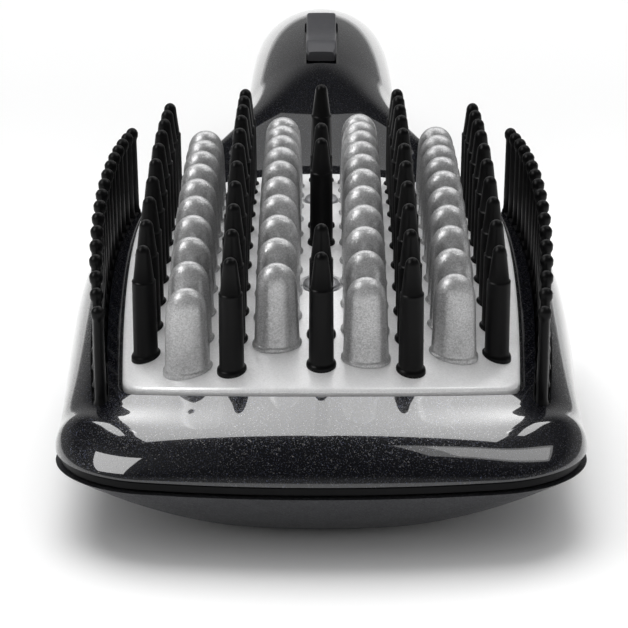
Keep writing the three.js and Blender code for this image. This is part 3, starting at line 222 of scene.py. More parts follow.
# Tail and the back of the handle
CAP_BORE = 4.8
CAP_DEPTH = 4
CAP_FACE = 2.2
CAP_RIM_IN = 0.4
CAP_PLUG_IN = 1.4
CAP_STEP = 1.3
CAP_CHAMFER = 1.2
CAP_SIDES = 72
SWIVEL_SIDES = 56
RIBS = 4
RIB_START = 1.4
RIB_PITCH = 1.3
WELLS_Y = (137, 240)
WELL_RADIUS = 2.6
WELL_DEPTH = 4
WELL_REACH = 30
WELL_SIDES = 32
BLOCK_SIZE = 40
TABLE = ((-60, 60), (-20, 320), (-20, 0))

# Most of an edge that the rounding of its end takes
EDGE_SHARE = 0.45

# Distances of points that are joined, in metres in a mesh and in millimetres in an outline, and
# the least radius and share that keep points on an axis apart
WELD = 1e-6
FINE_WELD = 1e-7
SAME_POINT = 1e-3
LEAST_RADIUS = 1e-4
LEAST_SHARE = 1e-5


def mix(a, b, t):
    return a + (b - a) * t


def smooth(low, high, v):
    t = min(1, max(0, (v - low) / (high - low)))
    return t * t * (3 - 2 * t)


def led(p, lead):
    return (p[0] + lead[0], p[1] + lead[1])


def bezier(p, t):
    s = 1 - t
    weights = (s ** 3, 3 * s * s * t, 3 * s * t * t, t ** 3)
    return tuple(sum(w * q[i] for w, q in zip(weights, p)) for i in (0, 1))


def arc(cx, cy, r, a0, a1, steps):
    """Points of an arc, its angle counted from straight forwards."""
    turns = [mix(a0, a1, i / steps) for i in range(steps + 1)]
    return [(cx + r * math.sin(a), cy - r * math.cos(a)) for a in turns]


def quarter_round(r, steps):
    """Points of a rounded edge: how far aside and how far up."""
    turns = [math.pi / 2 * k / steps for k in range(steps + 1)]
    return [(r * (1 - math.cos(a)), r * math.sin(a)) for a in turns]


# Form of the housing

def face_z(x, u):
    return -u * u / (2 * ARCH_RADIUS) - x * x / (2 * CROWN_RADIUS)


def arch_z(y):
    u = (y - FACE_Y) / math.cos(FACE_LEAN)
    return FACE_Z + u * math.sin(FACE_LEAN) + face_z(0, u) * math.cos(FACE_LEAN)


def axis_z(y):
    return PEAK_Z - (y - PEAK_Y) ** 2 / (2 * ARC_RADIUS)


def handle_radius(y):
    along = max(0, (y - HANDLE_START) / (LOFT_END - HANDLE_START))
    return mix(HANDLE_RADIUS, TAIL_RADIUS, along ** TAPER_POWER)


def handle_share(y):
    return smooth(RING_END, THROAT_END, y)


THROAT_LOW = (RING_END, arch_z(RING_END) - RING_BELOW)
THROAT_HIGH = (THROAT_END, axis_z(THROAT_END) + HANDLE_RADIUS)
THROAT = (
    THROAT_LOW, led(THROAT_LOW, THROAT_LEAD_OUT), led(THROAT_HIGH, THROAT_LEAD_IN), THROAT_HIGH,
)


def crown_z(y):
    """Height of the housing's top line."""
    if y < RING_END:
        return arch_z(y) - RING_BELOW
    if y > THROAT_END:
        return axis_z(y) + handle_radius(y)
    low, high = 0.0, 1.0
    for _ in range(BISECTIONS):
        middle = (low + high) / 2
        if bezier(THROAT, middle)[0] < y:
            low = middle
        else:
            high = middle
    return bezier(THROAT, low)[1]


def top_z(x, y):
    head = 1 - smooth(*CROWN_FADE, y)
    at_rim = smooth(*RIM_SPAN, math.hypot(RIM_ACROSS * x, max(0, RIM_CENTRE_Y - y)))
    return crown_z(y) - head * x * x / 2 * mix(1 / CROWN_RADIUS, 1 / RIM_CROWN_RADIUS, at_rim)


def seam_z(y):
    return mix(SEAM_Z, axis_z(y) + SEAM_ABOVE_AXIS, smooth(*SEAM_RISE, y))


def belly_z(y):
    return mix(-BELLY_BELOW, axis_z(y) - handle_radius(y), smooth(BELLY_END, HANDLE_START, y))


def outline(fineness):
    """Right-hand half of the plan outline, from the tip to the tail."""
    corner_x = HEAD_HALF_FRONT - CORNER_RADIUS
    reach = FRONT_RADIUS - CORNER_RADIUS
    corner_y = FRONT_RADIUS - math.sqrt(reach ** 2 - corner_x ** 2)
    turn = math.asin(corner_x / reach)
    points = []
    steps = FRONT_STEPS * fineness
    for i in range(steps + 1):
        a = turn * i / steps
        points.append((FRONT_RADIUS * math.sin(a), FRONT_RADIUS * (1 - math.cos(a))))
    points += arc(corner_x, corner_y, CORNER_RADIUS, turn, math.pi / 2, CORNER_STEPS * fineness)[1:]
    corner = (HEAD_HALF_FRONT, corner_y)
    widest = (HEAD_HALF, HEAD_WIDEST_Y)
    shoulder = (SHOULDER_HALF, SHOULDER_Y)
    root = (HANDLE_RADIUS, HANDLE_START)
    curves = (
        (corner, led(corner, CORNER_LEAD), led(widest, WIDEST_LEAD_IN), widest),
        (widest, led(widest, WIDEST_LEAD_OUT), led(shoulder, SHOULDER_LEAD_IN), shoulder),
        (shoulder, led(shoulder, SHOULDER_LEAD_OUT), led(root, ROOT_LEAD), root),
    )
    steps = SIDE_STEPS * fineness
    for curve in curves:
        points += [bezier(curve, i / steps) for i in range(1, steps + 1)]
    steps = HANDLE_STEPS * fineness
    for i in range(1, steps + 1):
        y = mix(HANDLE_START, LOFT_END, i / steps)
        points.append((handle_radius(y), y))
    return points


def inset_outline(inset, fineness):
    """The outline moved inwards: (x, y, inward x, inward y) for each point."""
    points = outline(fineness)
    found = []
    for i, (x, y) in enumerate(points):
        before = points[max(0, i - 1)]
        after = points[min(len(points) - 1, i + 1)]
        along = Vector((after[0] - before[0], after[1] - before[1])).normalized()
        inward = (0, 1) if i == 0 else (-along.y, along.x)
        found.append((x + inward[0] * inset, y + inward[1] * inset, *inward))
    return found


# Frames on the object

def to_row(p):
    """A point of the tip frame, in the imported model's metres."""
    return (p[0] / 1000, p[1] / 1000 + TIP_Y, p[2] / 1000)


def in_frame(angle, y0, z0):
    """Placing function for points (x, along, up) of a frame tilted by an angle."""
    c, s = math.cos(angle), math.sin(angle)

    def place(x, v, z):
        return (x, y0 + v * c - z * s, z0 + v * s + z * c)

    return place


SWITCH_SLOPE = math.atan((PEAK_Y - SWITCH_Y) / ARC_RADIUS)
TAIL_SLOPE = -math.atan((TAIL_Y - PEAK_Y) / ARC_RADIUS)
in_tip = in_frame(0, 0, 0)
in_face = in_frame(FACE_LEAN, FACE_Y, FACE_Z)
in_switch = in_frame(SWITCH_SLOPE, SWITCH_Y, crown_z(SWITCH_Y))
in_tail = in_frame(TAIL_SLOPE, TAIL_Y, axis_z(TAIL_Y))


def in_centre_line(u0, z0):
    """Placing function for a form that stands on the centre line of the face."""
    def place(x, v, z):
        return in_face(x, v + u0, z + z0)

    return place


def along_tail(x, v, z):
    """Places a form turned about its own z along the tail's axis."""
    return in_tail(x, z, v)


# Meshes

def new_object(name, data):
    made = bpy.data.objects.new(name, data)
    bpy.context.scene.collection.objects.link(made)
    return made


def solid(name, points, faces, weld=WELD):
    mesh = bpy.data.meshes.new(name)
    mesh.from_pydata([to_row(p) for p in points], [], faces)
    work = bmesh.new()
    work.from_mesh(mesh)
    bmesh.ops.remove_doubles(work, verts=work.verts, dist=weld)
    bmesh.ops.dissolve_degenerate(work, edges=work.edges, dist=weld)
    bmesh.ops.recalc_face_normals(work, faces=work.faces)
    work.to_mesh(mesh)
    work.free()
    return new_object(name, mesh)


def grid_faces(rows, columns, wrap=False, start=0):
    """Quads over rows of points, each with the same number of columns."""
    faces = []
    for i in range(rows - 1):
        for k in range(columns if wrap else columns - 1):
            a = start + i * columns + k
            b = start + i * columns + (k + 1) % columns
            faces.append((a, b, b + columns, a + columns))
    return faces


def tube_faces(rings, sides):
    """Quads round a row of rings, and a face over each end."""
    ends = [tuple(range(sides)), tuple(range((rings - 1) * sides, rings * sides))]
    return grid_faces(rings, sides, wrap=True) + ends


def tube(name, rings):
    """A closed solid over a row of rings of placed points."""
    points = [p for ring in rings for p in ring]
    return solid(name, points, tube_faces(len(rings), len(rings[0])))


def stacked(name, place, loops):
    """A closed solid from plan loops, each (points, height)."""
    return tube(name, [[place(x, v, z) for x, v in loop] for loop, z in loops])


def block(name, place, across, along, up):
    corners = [place(x, v, z) for x in across for v in along for z in up]
    faces = [(0, 1, 3, 2), (4, 6, 7, 5), (0, 4, 5, 1), (2, 3, 7, 6), (0, 2, 6, 4), (1, 5, 7, 3)]
    return solid(name, corners, faces)


def revolved(profile, sides):
    """Points and faces of a turned solid about +Z from (radius, height) pairs."""
    points = []
    for radius, z in profile:
        r = max(radius, LEAST_RADIUS)
        for k in range(sides):
            a = 2 * math.pi * k / sides
            points.append((r * math.cos(a), r * math.sin(a), z))
    if profile[0] == profile[-1]:
        return points, grid_faces(len(profile), sides, wrap=True)
    return points, tube_faces(len(profile), sides)


def turned(name, place, profile, sides):
    points, faces = revolved(profile, sides)
    return solid(name, [place(*p) for p in points], faces)


def gathered(name, parts):
    """One object from several (points, faces)."""
    points, faces = [], []
    for part_points, part_faces in parts:
        shift = len(points)
        points += part_points
        faces += [tuple(i + shift for i in face) for face in part_faces]
    return solid(name, points, faces, FINE_WELD)


def cut(piece, cutters):
    for cutter in cutters:
        step = piece.modifiers.new("cut", "BOOLEAN")
        step.operation = "DIFFERENCE"
        step.solver = "MANIFOLD"
        step.object = cutter
    graph = bpy.context.evaluated_depsgraph_get()
    mesh = bpy.data.meshes.new_from_object(piece.evaluated_get(graph))
    piece.modifiers.clear()
    piece.data = mesh
    for cutter in cutters:
        bpy.data.objects.remove(cutter)
    return piece


def dressed(piece, material, body, node, sharp):
    """Smooths a piece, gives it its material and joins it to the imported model."""
    piece.data.polygons.foreach_set("use_smooth", [True] * len(piece.data.polygons))
    piece.data.set_sharp_from_angle(angle=math.radians(sharp))
    piece.data.materials.clear()
    piece.data.materials.append(material)
    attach(piece, body)
    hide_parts(node)


def mirrored_loft(name, columns):
    """A closed solid from right-hand columns, each from the seam to the centre line."""
    columns[0] = [(0, y, z) for _, y, z in columns[0]]
    height = len(columns[0])
    points = []
    for side in (1, -1):
        for column in columns:
            points += [(side * x, y, z) for x, y, z in column]
    half = len(columns) * height
    faces = grid_faces(len(columns), height) + grid_faces(len(columns), height, start=half)
    for i in range(len(columns) - 1):
        a, b = i * height, (i + 1) * height
        faces.append((a, b, b + half, a + half))
    last = half - height
    faces.append((*range(last, half), *reversed(range(last + half, 2 * half))))
    return solid(name, points, faces)


# Materials

class Nodes:
    """Short way to write the node tree of a material or of the world."""

    def __init__(self, owner, shader):
        owner.use_nodes = True
        self.owner = owner
        self.tree = owner.node_tree
        self.shader = self.tree.nodes[shader]
        self.places = self.add("ShaderNodeTexCoord").outputs

    def add(self, kind, **settings):
        node = self.tree.nodes.new(kind)
        for key, value in settings.items():
            setattr(node, key, value)
        return node

    def feed(self, socket, value):
        """Gives a socket another node's output, or a number or colour of its own."""
        if isinstance(value, bpy.types.NodeSocket):
            self.tree.links.new(value, socket)
        elif socket.type == "RGBA":
            socket.default_value = (*value, 1)
        else:
            socket.default_value = value

    def set(self, **values):
        """Feeds sockets of the shader."""
        for key, value in values.items():
            self.feed(self.shader.inputs[key.replace("_", " ")], value)

    def noise(self, scale, detail=3, rough=0.55, stretch=None):
        node = self.add("ShaderNodeTexNoise")
        node.inputs["Scale"].default_value = scale
        node.inputs["Detail"].default_value = detail
        node.inputs["Roughness"].default_value = rough
        where = self.places["Object"]
        if stretch:
            warp = self.add("ShaderNodeMapping")
            warp.inputs["Scale"].default_value = stretch
            self.feed(warp.inputs["Vector"], where)
            where = warp.outputs["Vector"]
        self.feed(node.inputs["Vector"], where)
        return node.outputs["Fac"]

    def flakes(self, scale):
        """Random colour of each small cell, one flake a cell, and two of its channels."""
        node = self.add("ShaderNodeTexVoronoi")
        node.inputs["Scale"].default_value = scale
        self.feed(node.inputs["Vector"], self.places["Object"])
        split = self.add("ShaderNodeSeparateColor")
        self.feed(split.inputs["Color"], node.outputs["Color"])
        return node.outputs["Color"], split.outputs["Red"], split.outputs["Green"]

    def ramp(self, value, low, high, a=0.0, b=1.0, ease="LINEAR"):
        node = self.add("ShaderNodeMapRange", interpolation_type=ease)
        keys = ("Value", "From Min", "From Max", "To Min", "To Max")
        for key, entry in zip(keys, (value, low, high, a, b)):
            self.feed(node.inputs[key], entry)
        return node.outputs["Result"]

    def math(self, operation, a, b):
        node = self.add("ShaderNodeMath", operation=operation)
        self.feed(node.inputs[0], a)
        self.feed(node.inputs[1], b)
        return node.outputs["Value"]

    def vector(self, operation, a, b=None):
        node = self.add("ShaderNodeVectorMath", operation=operation)
        self.feed(node.inputs[0], a)
        if b is not None:
            self.feed(node.inputs["Scale" if operation == "SCALE" else 1], b)
        return node.outputs["Value" if operation == "LENGTH" else "Vector"]

    def blend(self, share, a, b):
        node = self.add("ShaderNodeMix", data_type="RGBA")
        colours = [s for s in node.inputs if s.type == "RGBA"]
        for socket, value in zip((node.inputs["Factor"], *colours), (share, a, b)):
            self.feed(socket, value)
        return next(s for s in node.outputs if s.type == "RGBA")

    def bump(self, height, strength, distance, normal=None):
        node = self.add("ShaderNodeBump")
        node.inputs["Strength"].default_value = strength
        node.inputs["Distance"].default_value = distance
        self.feed(node.inputs["Height"], height)
        if normal:
            self.feed(node.inputs["Normal"], normal)
        return node.outputs["Normal"]

    def tilted(self, colour, share, amount):
        """The surface normal, tilted at random in each flake."""
        lean = self.vector("SUBTRACT", colour, (0.5, 0.5, 0.5))
        lean = self.vector("SCALE", lean, self.math("MULTIPLY", share, amount))
        normal = self.add("ShaderNodeNewGeometry").outputs["Normal"]
        return self.vector("NORMALIZE", self.vector("ADD", normal, lean))

    def worn(self, rough, amount):
        """Roughness with soft handling marks, broad and fine."""
        broad = self.noise(scale=45, detail=4, rough=0.6)
        fine = self.noise(scale=900, detail=2, rough=0.5)
        broad = self.ramp(broad, 0.35, 0.7, 0, amount)
        fine = self.ramp(fine, 0.3, 0.7, 0, amount * 0.5)
        return self.math("ADD", self.math("ADD", broad, fine), rough)

    def seen(self):
        """1 where the camera looks, straight or in gloss or through glass, and else 0."""
        path = self.add("ShaderNodeLightPath").outputs
        either = self.math("MAXIMUM", path["Is Camera Ray"], path["Is Glossy Ray"])
        return self.math("MAXIMUM", either, path["Is Transmission Ray"])


def new_material(name):
    return Nodes(bpy.data.materials.new(name), "Principled BSDF")


def gloss_black(name):
    """Near-black lacquer with sparse fine flakes under a clear coat."""
    lacquer = (0.0022, 0.0024, 0.0042)
    cool_flake = (0.045, 0.055, 0.10)
    warm_flake = (0.125, 0.12, 0.11)
    n = new_material(name)
    cells, red, green = n.flakes(9000)
    share = n.ramp(red, 0.82, 1.0)
    n.set(
        Base_Color=n.blend(share, lacquer, n.blend(green, cool_flake, warm_flake)),
        Metallic=share, Roughness=n.worn(0.32, 0.05), IOR=1.5, Specular_IOR_Level=0.1,
        Normal=n.tilted(cells, share, 0.7), Coat_Weight=1.0, Coat_Roughness=0.03, Coat_IOR=1.7,
        Coat_Normal=n.bump(n.noise(scale=120, detail=2), 0.02, 0.0004),
    )
    return n.owner


def flake_paint(name, dark, light, rough, tilt, scale, metallic, coat=0.15):
    """Metallic lacquer: fine flakes of slightly different value and tilt."""
    n = new_material(name)
    cells, red, green = n.flakes(scale)
    cloud = n.ramp(n.noise(scale=260, detail=4, rough=0.6), 0.3, 0.7)
    share = n.math("ADD", n.math("MULTIPLY", red, 0.75), n.math("MULTIPLY", cloud, 0.25))
    tilted = n.tilted(cells, n.ramp(green, 0.2, 1), tilt)
    n.set(
        Base_Color=n.blend(share, dark, light), Metallic=metallic, Roughness=n.worn(rough, 0.06),
        Coat_Weight=coat, Coat_Roughness=0.2,
        Normal=n.bump(n.noise(scale=2600, detail=2, rough=0.5), 0.12, 0.00006, tilted),
    )
    return n.owner


def moulded(name, colour, rough, grain=0.2, grain_scale=2400, gloss=0.3):
    """Moulded plastic: spark-eroded grain, faint cloudiness and handling marks."""
    n = new_material(name)
    lighter = tuple(min(1, c * 1.4 + 0.0008) for c in colour)
    cloud = n.ramp(n.noise(scale=70, detail=5, rough=0.65), 0.3, 0.7)
    n.set(
        Base_Color=n.blend(cloud, colour, lighter),
        Roughness=n.worn(rough, 0.08), IOR=1.46, Specular_IOR_Level=gloss,
        Normal=n.bump(n.noise(scale=grain_scale, rough=0.6), grain, 0.00008),
    )
    return n.owner


def metal(name, colour, rough, stretch=(1, 1, 1)):
    """Plain or brushed metal: streaks when the noise is stretched."""
    n = new_material(name)
    darker = tuple(c * 0.8 for c in colour)
    streaks = n.noise(scale=1400, stretch=stretch)
    n.set(
        Base_Color=n.blend(n.ramp(streaks, 0.35, 0.65), darker, colour), Metallic=1.0,
        Roughness=n.worn(rough, 0.08), Normal=n.bump(streaks, 0.15, 0.00005),
    )
    return n.owner


GLOSS = gloss_black("gloss_black_pearl")
GREY = flake_paint("grey_metallic", (0.026, 0.027, 0.030), (0.08, 0.081, 0.088),
                   rough=0.4, tilt=0.35, scale=5200, metallic=0.5, coat=0.1)
# Painted light: the plate's copy of the silver paint that plate and teeth share is made lighter
PLATE_SILVER_PAINTED_LIGHT = flake_paint("plate_silver_painted_light", (0.84, 0.84, 0.845), (0.98, 0.98, 0.985),
                     rough=0.3, tilt=0.16, scale=6000, metallic=0.22)
# Painted shade: the teeth's copy of the same silver paint is made darker
TEETH_SILVER_PAINTED_SHADE = flake_paint("teeth_silver_painted_shade", (0.35, 0.35, 0.352), (0.63, 0.63, 0.635),
                    rough=0.34, tilt=0.3, scale=6000, metallic=0.5)
PIN_BLACK = moulded("matte_black_nylon", (0.0025, 0.0025, 0.0027), 0.28, 0.1, gloss=0.14)
SATIN_BLACK = moulded("satin_black", (0.05, 0.05, 0.054), 0.34, 0.15)
SEAM_BLACK = moulded("seam_black", (0.004, 0.004, 0.0044), 0.3, 0.1, gloss=0.1)
STEEL = metal("turned_steel", (0.58, 0.58, 0.6), 0.28)

# Finishes of the CAD pieces that stay as they are
INNER = {
    "heat_spreader": metal("pressed_aluminium", (0.66, 0.67, 0.69), 0.4, (1, 0.08, 1)),
    "ceramic_heater": moulded("fired_alumina", (0.78, 0.76, 0.7), 0.6, 0.3, 1800),
    "mica_insulator": moulded("amber_mica", (0.46, 0.34, 0.18), 0.4, 0.3, 500),
    "clamp_plate": metal("spring_steel", (0.5, 0.51, 0.53), 0.32, (1, 0.05, 1)),
    "thermal_fuse": metal("tinned_case", (0.6, 0.6, 0.62), 0.3),
    "thermistor": moulded("dipped_resin", (0.72, 0.7, 0.66), 0.4),
    "chassis": moulded("glass_filled", (0.03, 0.03, 0.032), 0.55, 0.4, 1200),
    "chassis_screw": metal("zinc_plated", (0.55, 0.56, 0.58), 0.3),
    "housing_screw": metal("zinc_plated_dark", (0.42, 0.43, 0.45), 0.34),
    "switch_actuator": moulded("natural_nylon", (0.7, 0.69, 0.64), 0.45),
    "switch_body": moulded("switch_case", (0.02, 0.02, 0.021), 0.5),
    "control_board": moulded("solder_mask", (0.015, 0.09, 0.035), 0.3, 0.25, 900),
    "film_capacitor": moulded("dipped_brown", (0.2, 0.06, 0.02), 0.3),
    "triac": moulded("power_case", (0.02, 0.02, 0.02), 0.5),
    "swivel_clip": metal("clip_steel", (0.5, 0.51, 0.53), 0.3),
    "heater_lead": moulded("silicone_sleeve", (0.6, 0.58, 0.52), 0.6, 0.4, 3000),
    "mains_lead": moulded("lead_sleeve", (0.55, 0.54, 0.5), 0.5),
}


# Housing

def upper_solid(name, wall, crown_wall, below, fineness, steps, across):
    """The upper shell, or its hollow with walls and a start below the seam."""
    columns = []
    for x0, y0, nx, ny in inset_outline(wall, fineness):
        share = handle_share(y0)
        width = mix(SHOULDER_RADIUS - wall * INNER_SHOULDER, handle_radius(y0) - wall, share)
        power = 2 / mix(SQUARENESS, 2, share)
        seam = seam_z(y0) - below
        column = []
        for k in range(steps + 1):
            a = math.pi / 2 * k / steps
            inset = width * (1 - max(0, math.cos(a)) ** power)
            x = max(0, x0 + nx * inset)
            y = y0 + ny * inset
            rise = max(LEAST_RISE, top_z(x, y) - crown_wall - seam)
            column.append((x, y, seam + rise * math.sin(a) ** power))
        cy = max(y0, FAN_Y)
        if column[-1][0] < NEAR_AXIS:
            column[-1] = (0, cy, top_z(0, cy) - crown_wall)
        lx, ly, _ = column[-1]
        for k in range(1, across + 1):
            x, y = mix(lx, 0, k / across), mix(ly, cy, k / across)
            column.append((x, y, top_z(x, y) - crown_wall))
        columns.append(column)
    return mirrored_loft(name, columns)


def lower_solid(name, wall, above, fineness, steps):
    """The lower shell, or its hollow with walls and a start above its edge."""
    columns = []
    for x0, y0, _, _ in inset_outline(wall, fineness):
        top = seam_z(y0) - BAND_HEIGHT + above
        power = mix(2, 1, handle_share(y0))
        cy = max(y0, FAN_Y)
        column = []
        for k in range(steps + 1):
            a = math.pi / 2 * k / steps
            s = 1 - math.cos(a)
            x, y = mix(x0, 0, s), mix(y0, cy, s)
            column.append((x, y, top - (top - belly_z(y) - wall) * math.sin(a) ** power))
        columns.append(column)
    return mirrored_loft(name, columns)


def band_solid(name, inset, low, high, fineness):
    """A flat slab along the seam between two heights, its edges a little rounded."""
    columns = []
    for x, y, nx, ny in inset_outline(inset, fineness):
        seam = seam_z(y)
        bx, by = x + nx * BAND_EDGE, y + ny * BAND_EDGE
        columns.append([
            (bx, by, seam + low), (x, y, seam + low + BAND_EDGE), (x, y, seam + high - BAND_EDGE),
            (bx, by, seam + high), (0, max(by, inset + BAND_EDGE), seam + high),
        ])
    return mirrored_loft(name, columns)


def plate_outline(grow):
    """Closed plan outline of the cover plate, grown or shrunk."""
    corner = max(PLATE_LEAST_CORNER, PLATE_CORNER + grow)
    front, back = PLATE_FRONT_R + grow, PLATE_BACK_R + grow
    w_front, w_back = PLATE_HALF_FRONT + grow, PLATE_HALF + grow
    front_c, back_c = PLATE_FRONT + PLATE_FRONT_R, PLATE_BACK - PLATE_BACK_R
    fx = w_front - corner
    ft = math.asin(fx / (front - corner))
    fy = front_c - (front - corner) * math.cos(ft)
    bx = w_back - corner - PLATE_BACK_IN
    bt = math.asin(bx / (back - corner))
    by = back_c + (back - corner) * math.cos(bt)
    near, far = (mix(fy, by, share) for share in PLATE_SIDE_LEADS)
    side = ((w_front, fy), (mix(w_front, w_back, PLATE_SIDE_WIDTH), near), (w_back, far),
            (w_back - PLATE_BACK_IN, by))
    n = PLATE_SIDE_STEPS
    points = [
        *arc(0, front_c, front, 0, ft, PLATE_END_STEPS),
        *arc(fx, fy, corner, ft, math.pi / 2, PLATE_CORNER_STEPS),
        *(bezier(side, i / n) for i in range(1, n)),
        *arc(bx, by, corner, math.pi / 2, math.pi - bt, PLATE_CORNER_STEPS),
        *arc(0, back_c, back, math.pi - bt, math.pi, PLATE_END_STEPS),
    ]
    kept = [points[0]]
    for p in points[1:]:
        if math.dist(p, kept[-1]) > SAME_POINT:
            kept.append(p)
    return kept + [(-x, u) for x, u in reversed(kept[1:-1])]


def shrunk(loop, share):
    """A plan loop drawn in towards its middle."""
    middle = sum(u for _, u in loop) / len(loop)
    return [(x * share, middle + (u - middle) * share) for x, u in loop]


def face_slab(name, loops, cap_steps=1, flat=False):
    """A closed solid from outline loops (grow, height), bent to the face unless flat."""
    shares = [max(k / cap_steps, LEAST_SHARE) for k in range(cap_steps)]
    (first, low), (last, high) = loops[0], loops[-1]
    plans = [(shrunk(plate_outline(first), share), low) for share in shares]
    plans += [(plate_outline(grow), z) for grow, z in loops]
    plans += [(shrunk(plate_outline(last), share), high) for share in reversed(shares)]
    rings = []
    for plan, z in plans:
        rings.append([in_face(x, u, z if flat else face_z(x, u) + z) for x, u in plan])
    return tube(name, rings)


def rail_x(u):
    return RAIL_HALF_SPAN - (u - RAIL_BOW_CENTRE) ** 2 / (2 * RAIL_BOW)


def rail_wall(name, side, section, ends):
    """A bowed wall along a rail from section corners (x, z), with half-round ends."""
    u0 = RAIL_START - ends
    u1 = RAIL_START + RAIL_PITCH * (RAIL_PINS - 1) + ends
    rings = []
    for i in range(RAIL_STEPS + 1):
        u = mix(u0, u1, i / RAIL_STEPS)
        from_end = min(1, min(u - u0, u1 - u) / ends)
        taper = math.sqrt(max(RAIL_LEAST_TAPER, 1 - (1 - from_end) ** 2))
        x = rail_x(u)
        base = face_z(x, u) - RING_BELOW
        rings.append([in_face(side * (x + dx * taper), u, base + z) for dx, z in section])
    return tube(name, rings)


def rounded_rectangle(w, h, r):
    points = []
    steps = RECTANGLE_CORNER_STEPS
    for quarter, (sx, sy) in enumerate(((1, 1), (-1, 1), (-1, -1), (1, -1))):
        for i in range(steps + 1):
            a = math.radians(90 * quarter + 90 * i / steps)
            points.append((sx * (w - r) + r * math.cos(a), sy * (h - r) + r * math.sin(a)))
    return points


def pocket_loops():
    """Outline loops of the plate's pocket, with a rounded lip at the bezel."""
    low = -RING_BELOW - POCKET_LIP
    lip = [(PLATE_GAP + aside, low + up) for aside, up in quarter_round(POCKET_LIP, 5)]
    return [(PLATE_GAP, -PLATE_THICKNESS - CLEARANCE), *lip, (PLATE_GAP + POCKET_LIP, POCKET_TOP)]


def channel_loops(half_w, half_l):
    """Plan loops of the switch channel, with a rounded lip at the top."""
    lip = [(aside, up - CHANNEL_LIP) for aside, up in quarter_round(CHANNEL_LIP, 4)]
    loops = []
    for grow, z in [(0, -CHANNEL_DEPTH), *lip, (CHANNEL_LIP, CHANNEL_TOP)]:
        loops.append((rounded_rectangle(half_w + grow, half_l + grow, CHANNEL_CORNER + grow), z))
    return loops


def behind_tail(offset):
    sides = (-BLOCK_SIZE, BLOCK_SIZE)
    return block("behind", in_tail, sides, (offset, offset + BLOCK_SIZE), sides)


def rail_slots():
    half = RAIL_WIDTH / 2 + CLEARANCE
    floor = -RAIL_DEPTH - CLEARANCE
    section = ((half, floor), (half, SLOT_TOP), (-half, SLOT_TOP), (-half, floor))
    return [rail_wall("slot", side, section, half) for side in (-1, 1)]


def switch_openings():
    reach = KNOB_LENGTH / 2 + TRAVEL / 2 + CLEARANCE
    channel = stacked("channel", in_switch, channel_loops(KNOB_WIDTH / 2 + CHANNEL_GAP, reach))
    half_w, half_l, depth = STEM_SLOT
    slot = block("stem_slot", in_switch, (-half_w, half_w), (-half_l, half_l), (-depth, 0))
    return [channel, slot]


def make_top_housing():
    shell = upper_solid("top_housing_shell", wall=0, crown_wall=0, below=0, fineness=FINE,
                        steps=26, across=26)
    hollow = upper_solid("hollow", WALL, CROWN_WALL, below=HOLLOW_OVERLAP, fineness=1,
                         steps=4, across=3)
    pocket = face_slab("pocket", pocket_loops(), cap_steps=12)
    opening = face_slab("opening", [(-LEDGE, z) for z in OPENING_SPAN], flat=True)
    return cut(shell, [hollow, pocket, opening, behind_tail(0), *rail_slots(), *switch_openings()])


def make_bottom_housing():
    shell = lower_solid("bottom_housing_shell", wall=0, above=0, fineness=FINE, steps=30)
    hollow = lower_solid("hollow", WALL, above=HOLLOW_OVERLAP, fineness=1, steps=5)
    table = block("table", in_tip, *TABLE)
    profile = [(WELL_RADIUS, -WELL_REACH), (WELL_RADIUS, 0)]
    wells = []
    for y in WELLS_Y:
        place = in_frame(0, y, belly_z(y) + WELL_DEPTH)
        wells.append(turned("well", place, profile, WELL_SIDES))
    return cut(shell, [hollow, table, behind_tail(0), *wells])


def make_seam_band():
    low, high = -BAND_HEIGHT + CLEARANCE, -CLEARANCE
    ring = band_solid("seam_band_trim", BAND_INSET, low, high, fineness=FINE)
    low, high = -BAND_HEIGHT - BAND_CUT, BAND_CUT
    inner = band_solid("inner", BAND_INSET + BAND_WIDTH, low, high, fineness=2)
    return cut(ring, [inner, behind_tail(-BAND_SHORT)])


dressed(make_top_housing(), GLOSS, "handpiece", "top_housing", sharp=32)
dressed(make_bottom_housing(), GREY, "handpiece", "bottom_housing", sharp=32)
dressed(make_seam_band(), SEAM_BLACK, "handpiece", "seam_band", sharp=40)


# Cover plate

def screw_places():
    return [PIN_START + n * PIN_PITCH for n in SCREW_PLACES]


def make_cover_plate():
    rounded = [(-aside, up - PLATE_EDGE) for aside, up in quarter_round(PLATE_EDGE, 6)]
    plate = face_slab("cover_plate_shell", [(0, -PLATE_THICKNESS), *rounded], cap_steps=26)
    low, middle, wide = RECESS_RADII
    lip, above = RECESS_RISES
    wells = []
    for u in screw_places():
        top = face_z(0, u)
        step = top - RECESS_STEP
        recess = [(low, top - RECESS_DEPTH), (low, step), (middle, top + lip), (wide, top + above)]
        for profile in (recess, [(BORE_RADIUS, BORE_FLOOR), (BORE_RADIUS, step)]):
            wells.append(turned("well", in_centre_line(u, 0), profile, SCREW_SIDES))
    return cut(plate, wells)


dressed(make_cover_plate(), PLATE_SILVER_PAINTED_LIGHT, "handpiece", "cover_plate", sharp=40)


# Teeth, pins and rails

def stood(points, faces, x, u, scale_x=1.0):
    """Stands a turned form on the face; its foot follows the slope of the face."""
    placed = []
    for px, py, pz in points:
        qx, qu = x + px * scale_x, u + py
        share = min(1, max(0, pz / FOOT_HEIGHT))
        lift = mix(face_z(qx, qu), face_z(x, u), share)
        placed.append(in_face(qx, qu, lift + pz))
    return placed, faces


def bar(x, half, places, top):
    """Bar under the plate, bent to the face, that joins a row from end to end."""
    points = []
    for i in range(BAR_STEPS + 1):
        u = mix(places[0] - BAR_END, places[-1] + BAR_END, i / BAR_STEPS)
        for dx, z in ((-half, BAR_FLOOR), (half, BAR_FLOOR), (half, top), (-half, top)):
            points.append(in_face(x + dx, u, face_z(x + dx, u) + z))
    return points, tube_faces(BAR_STEPS + 1, 4)


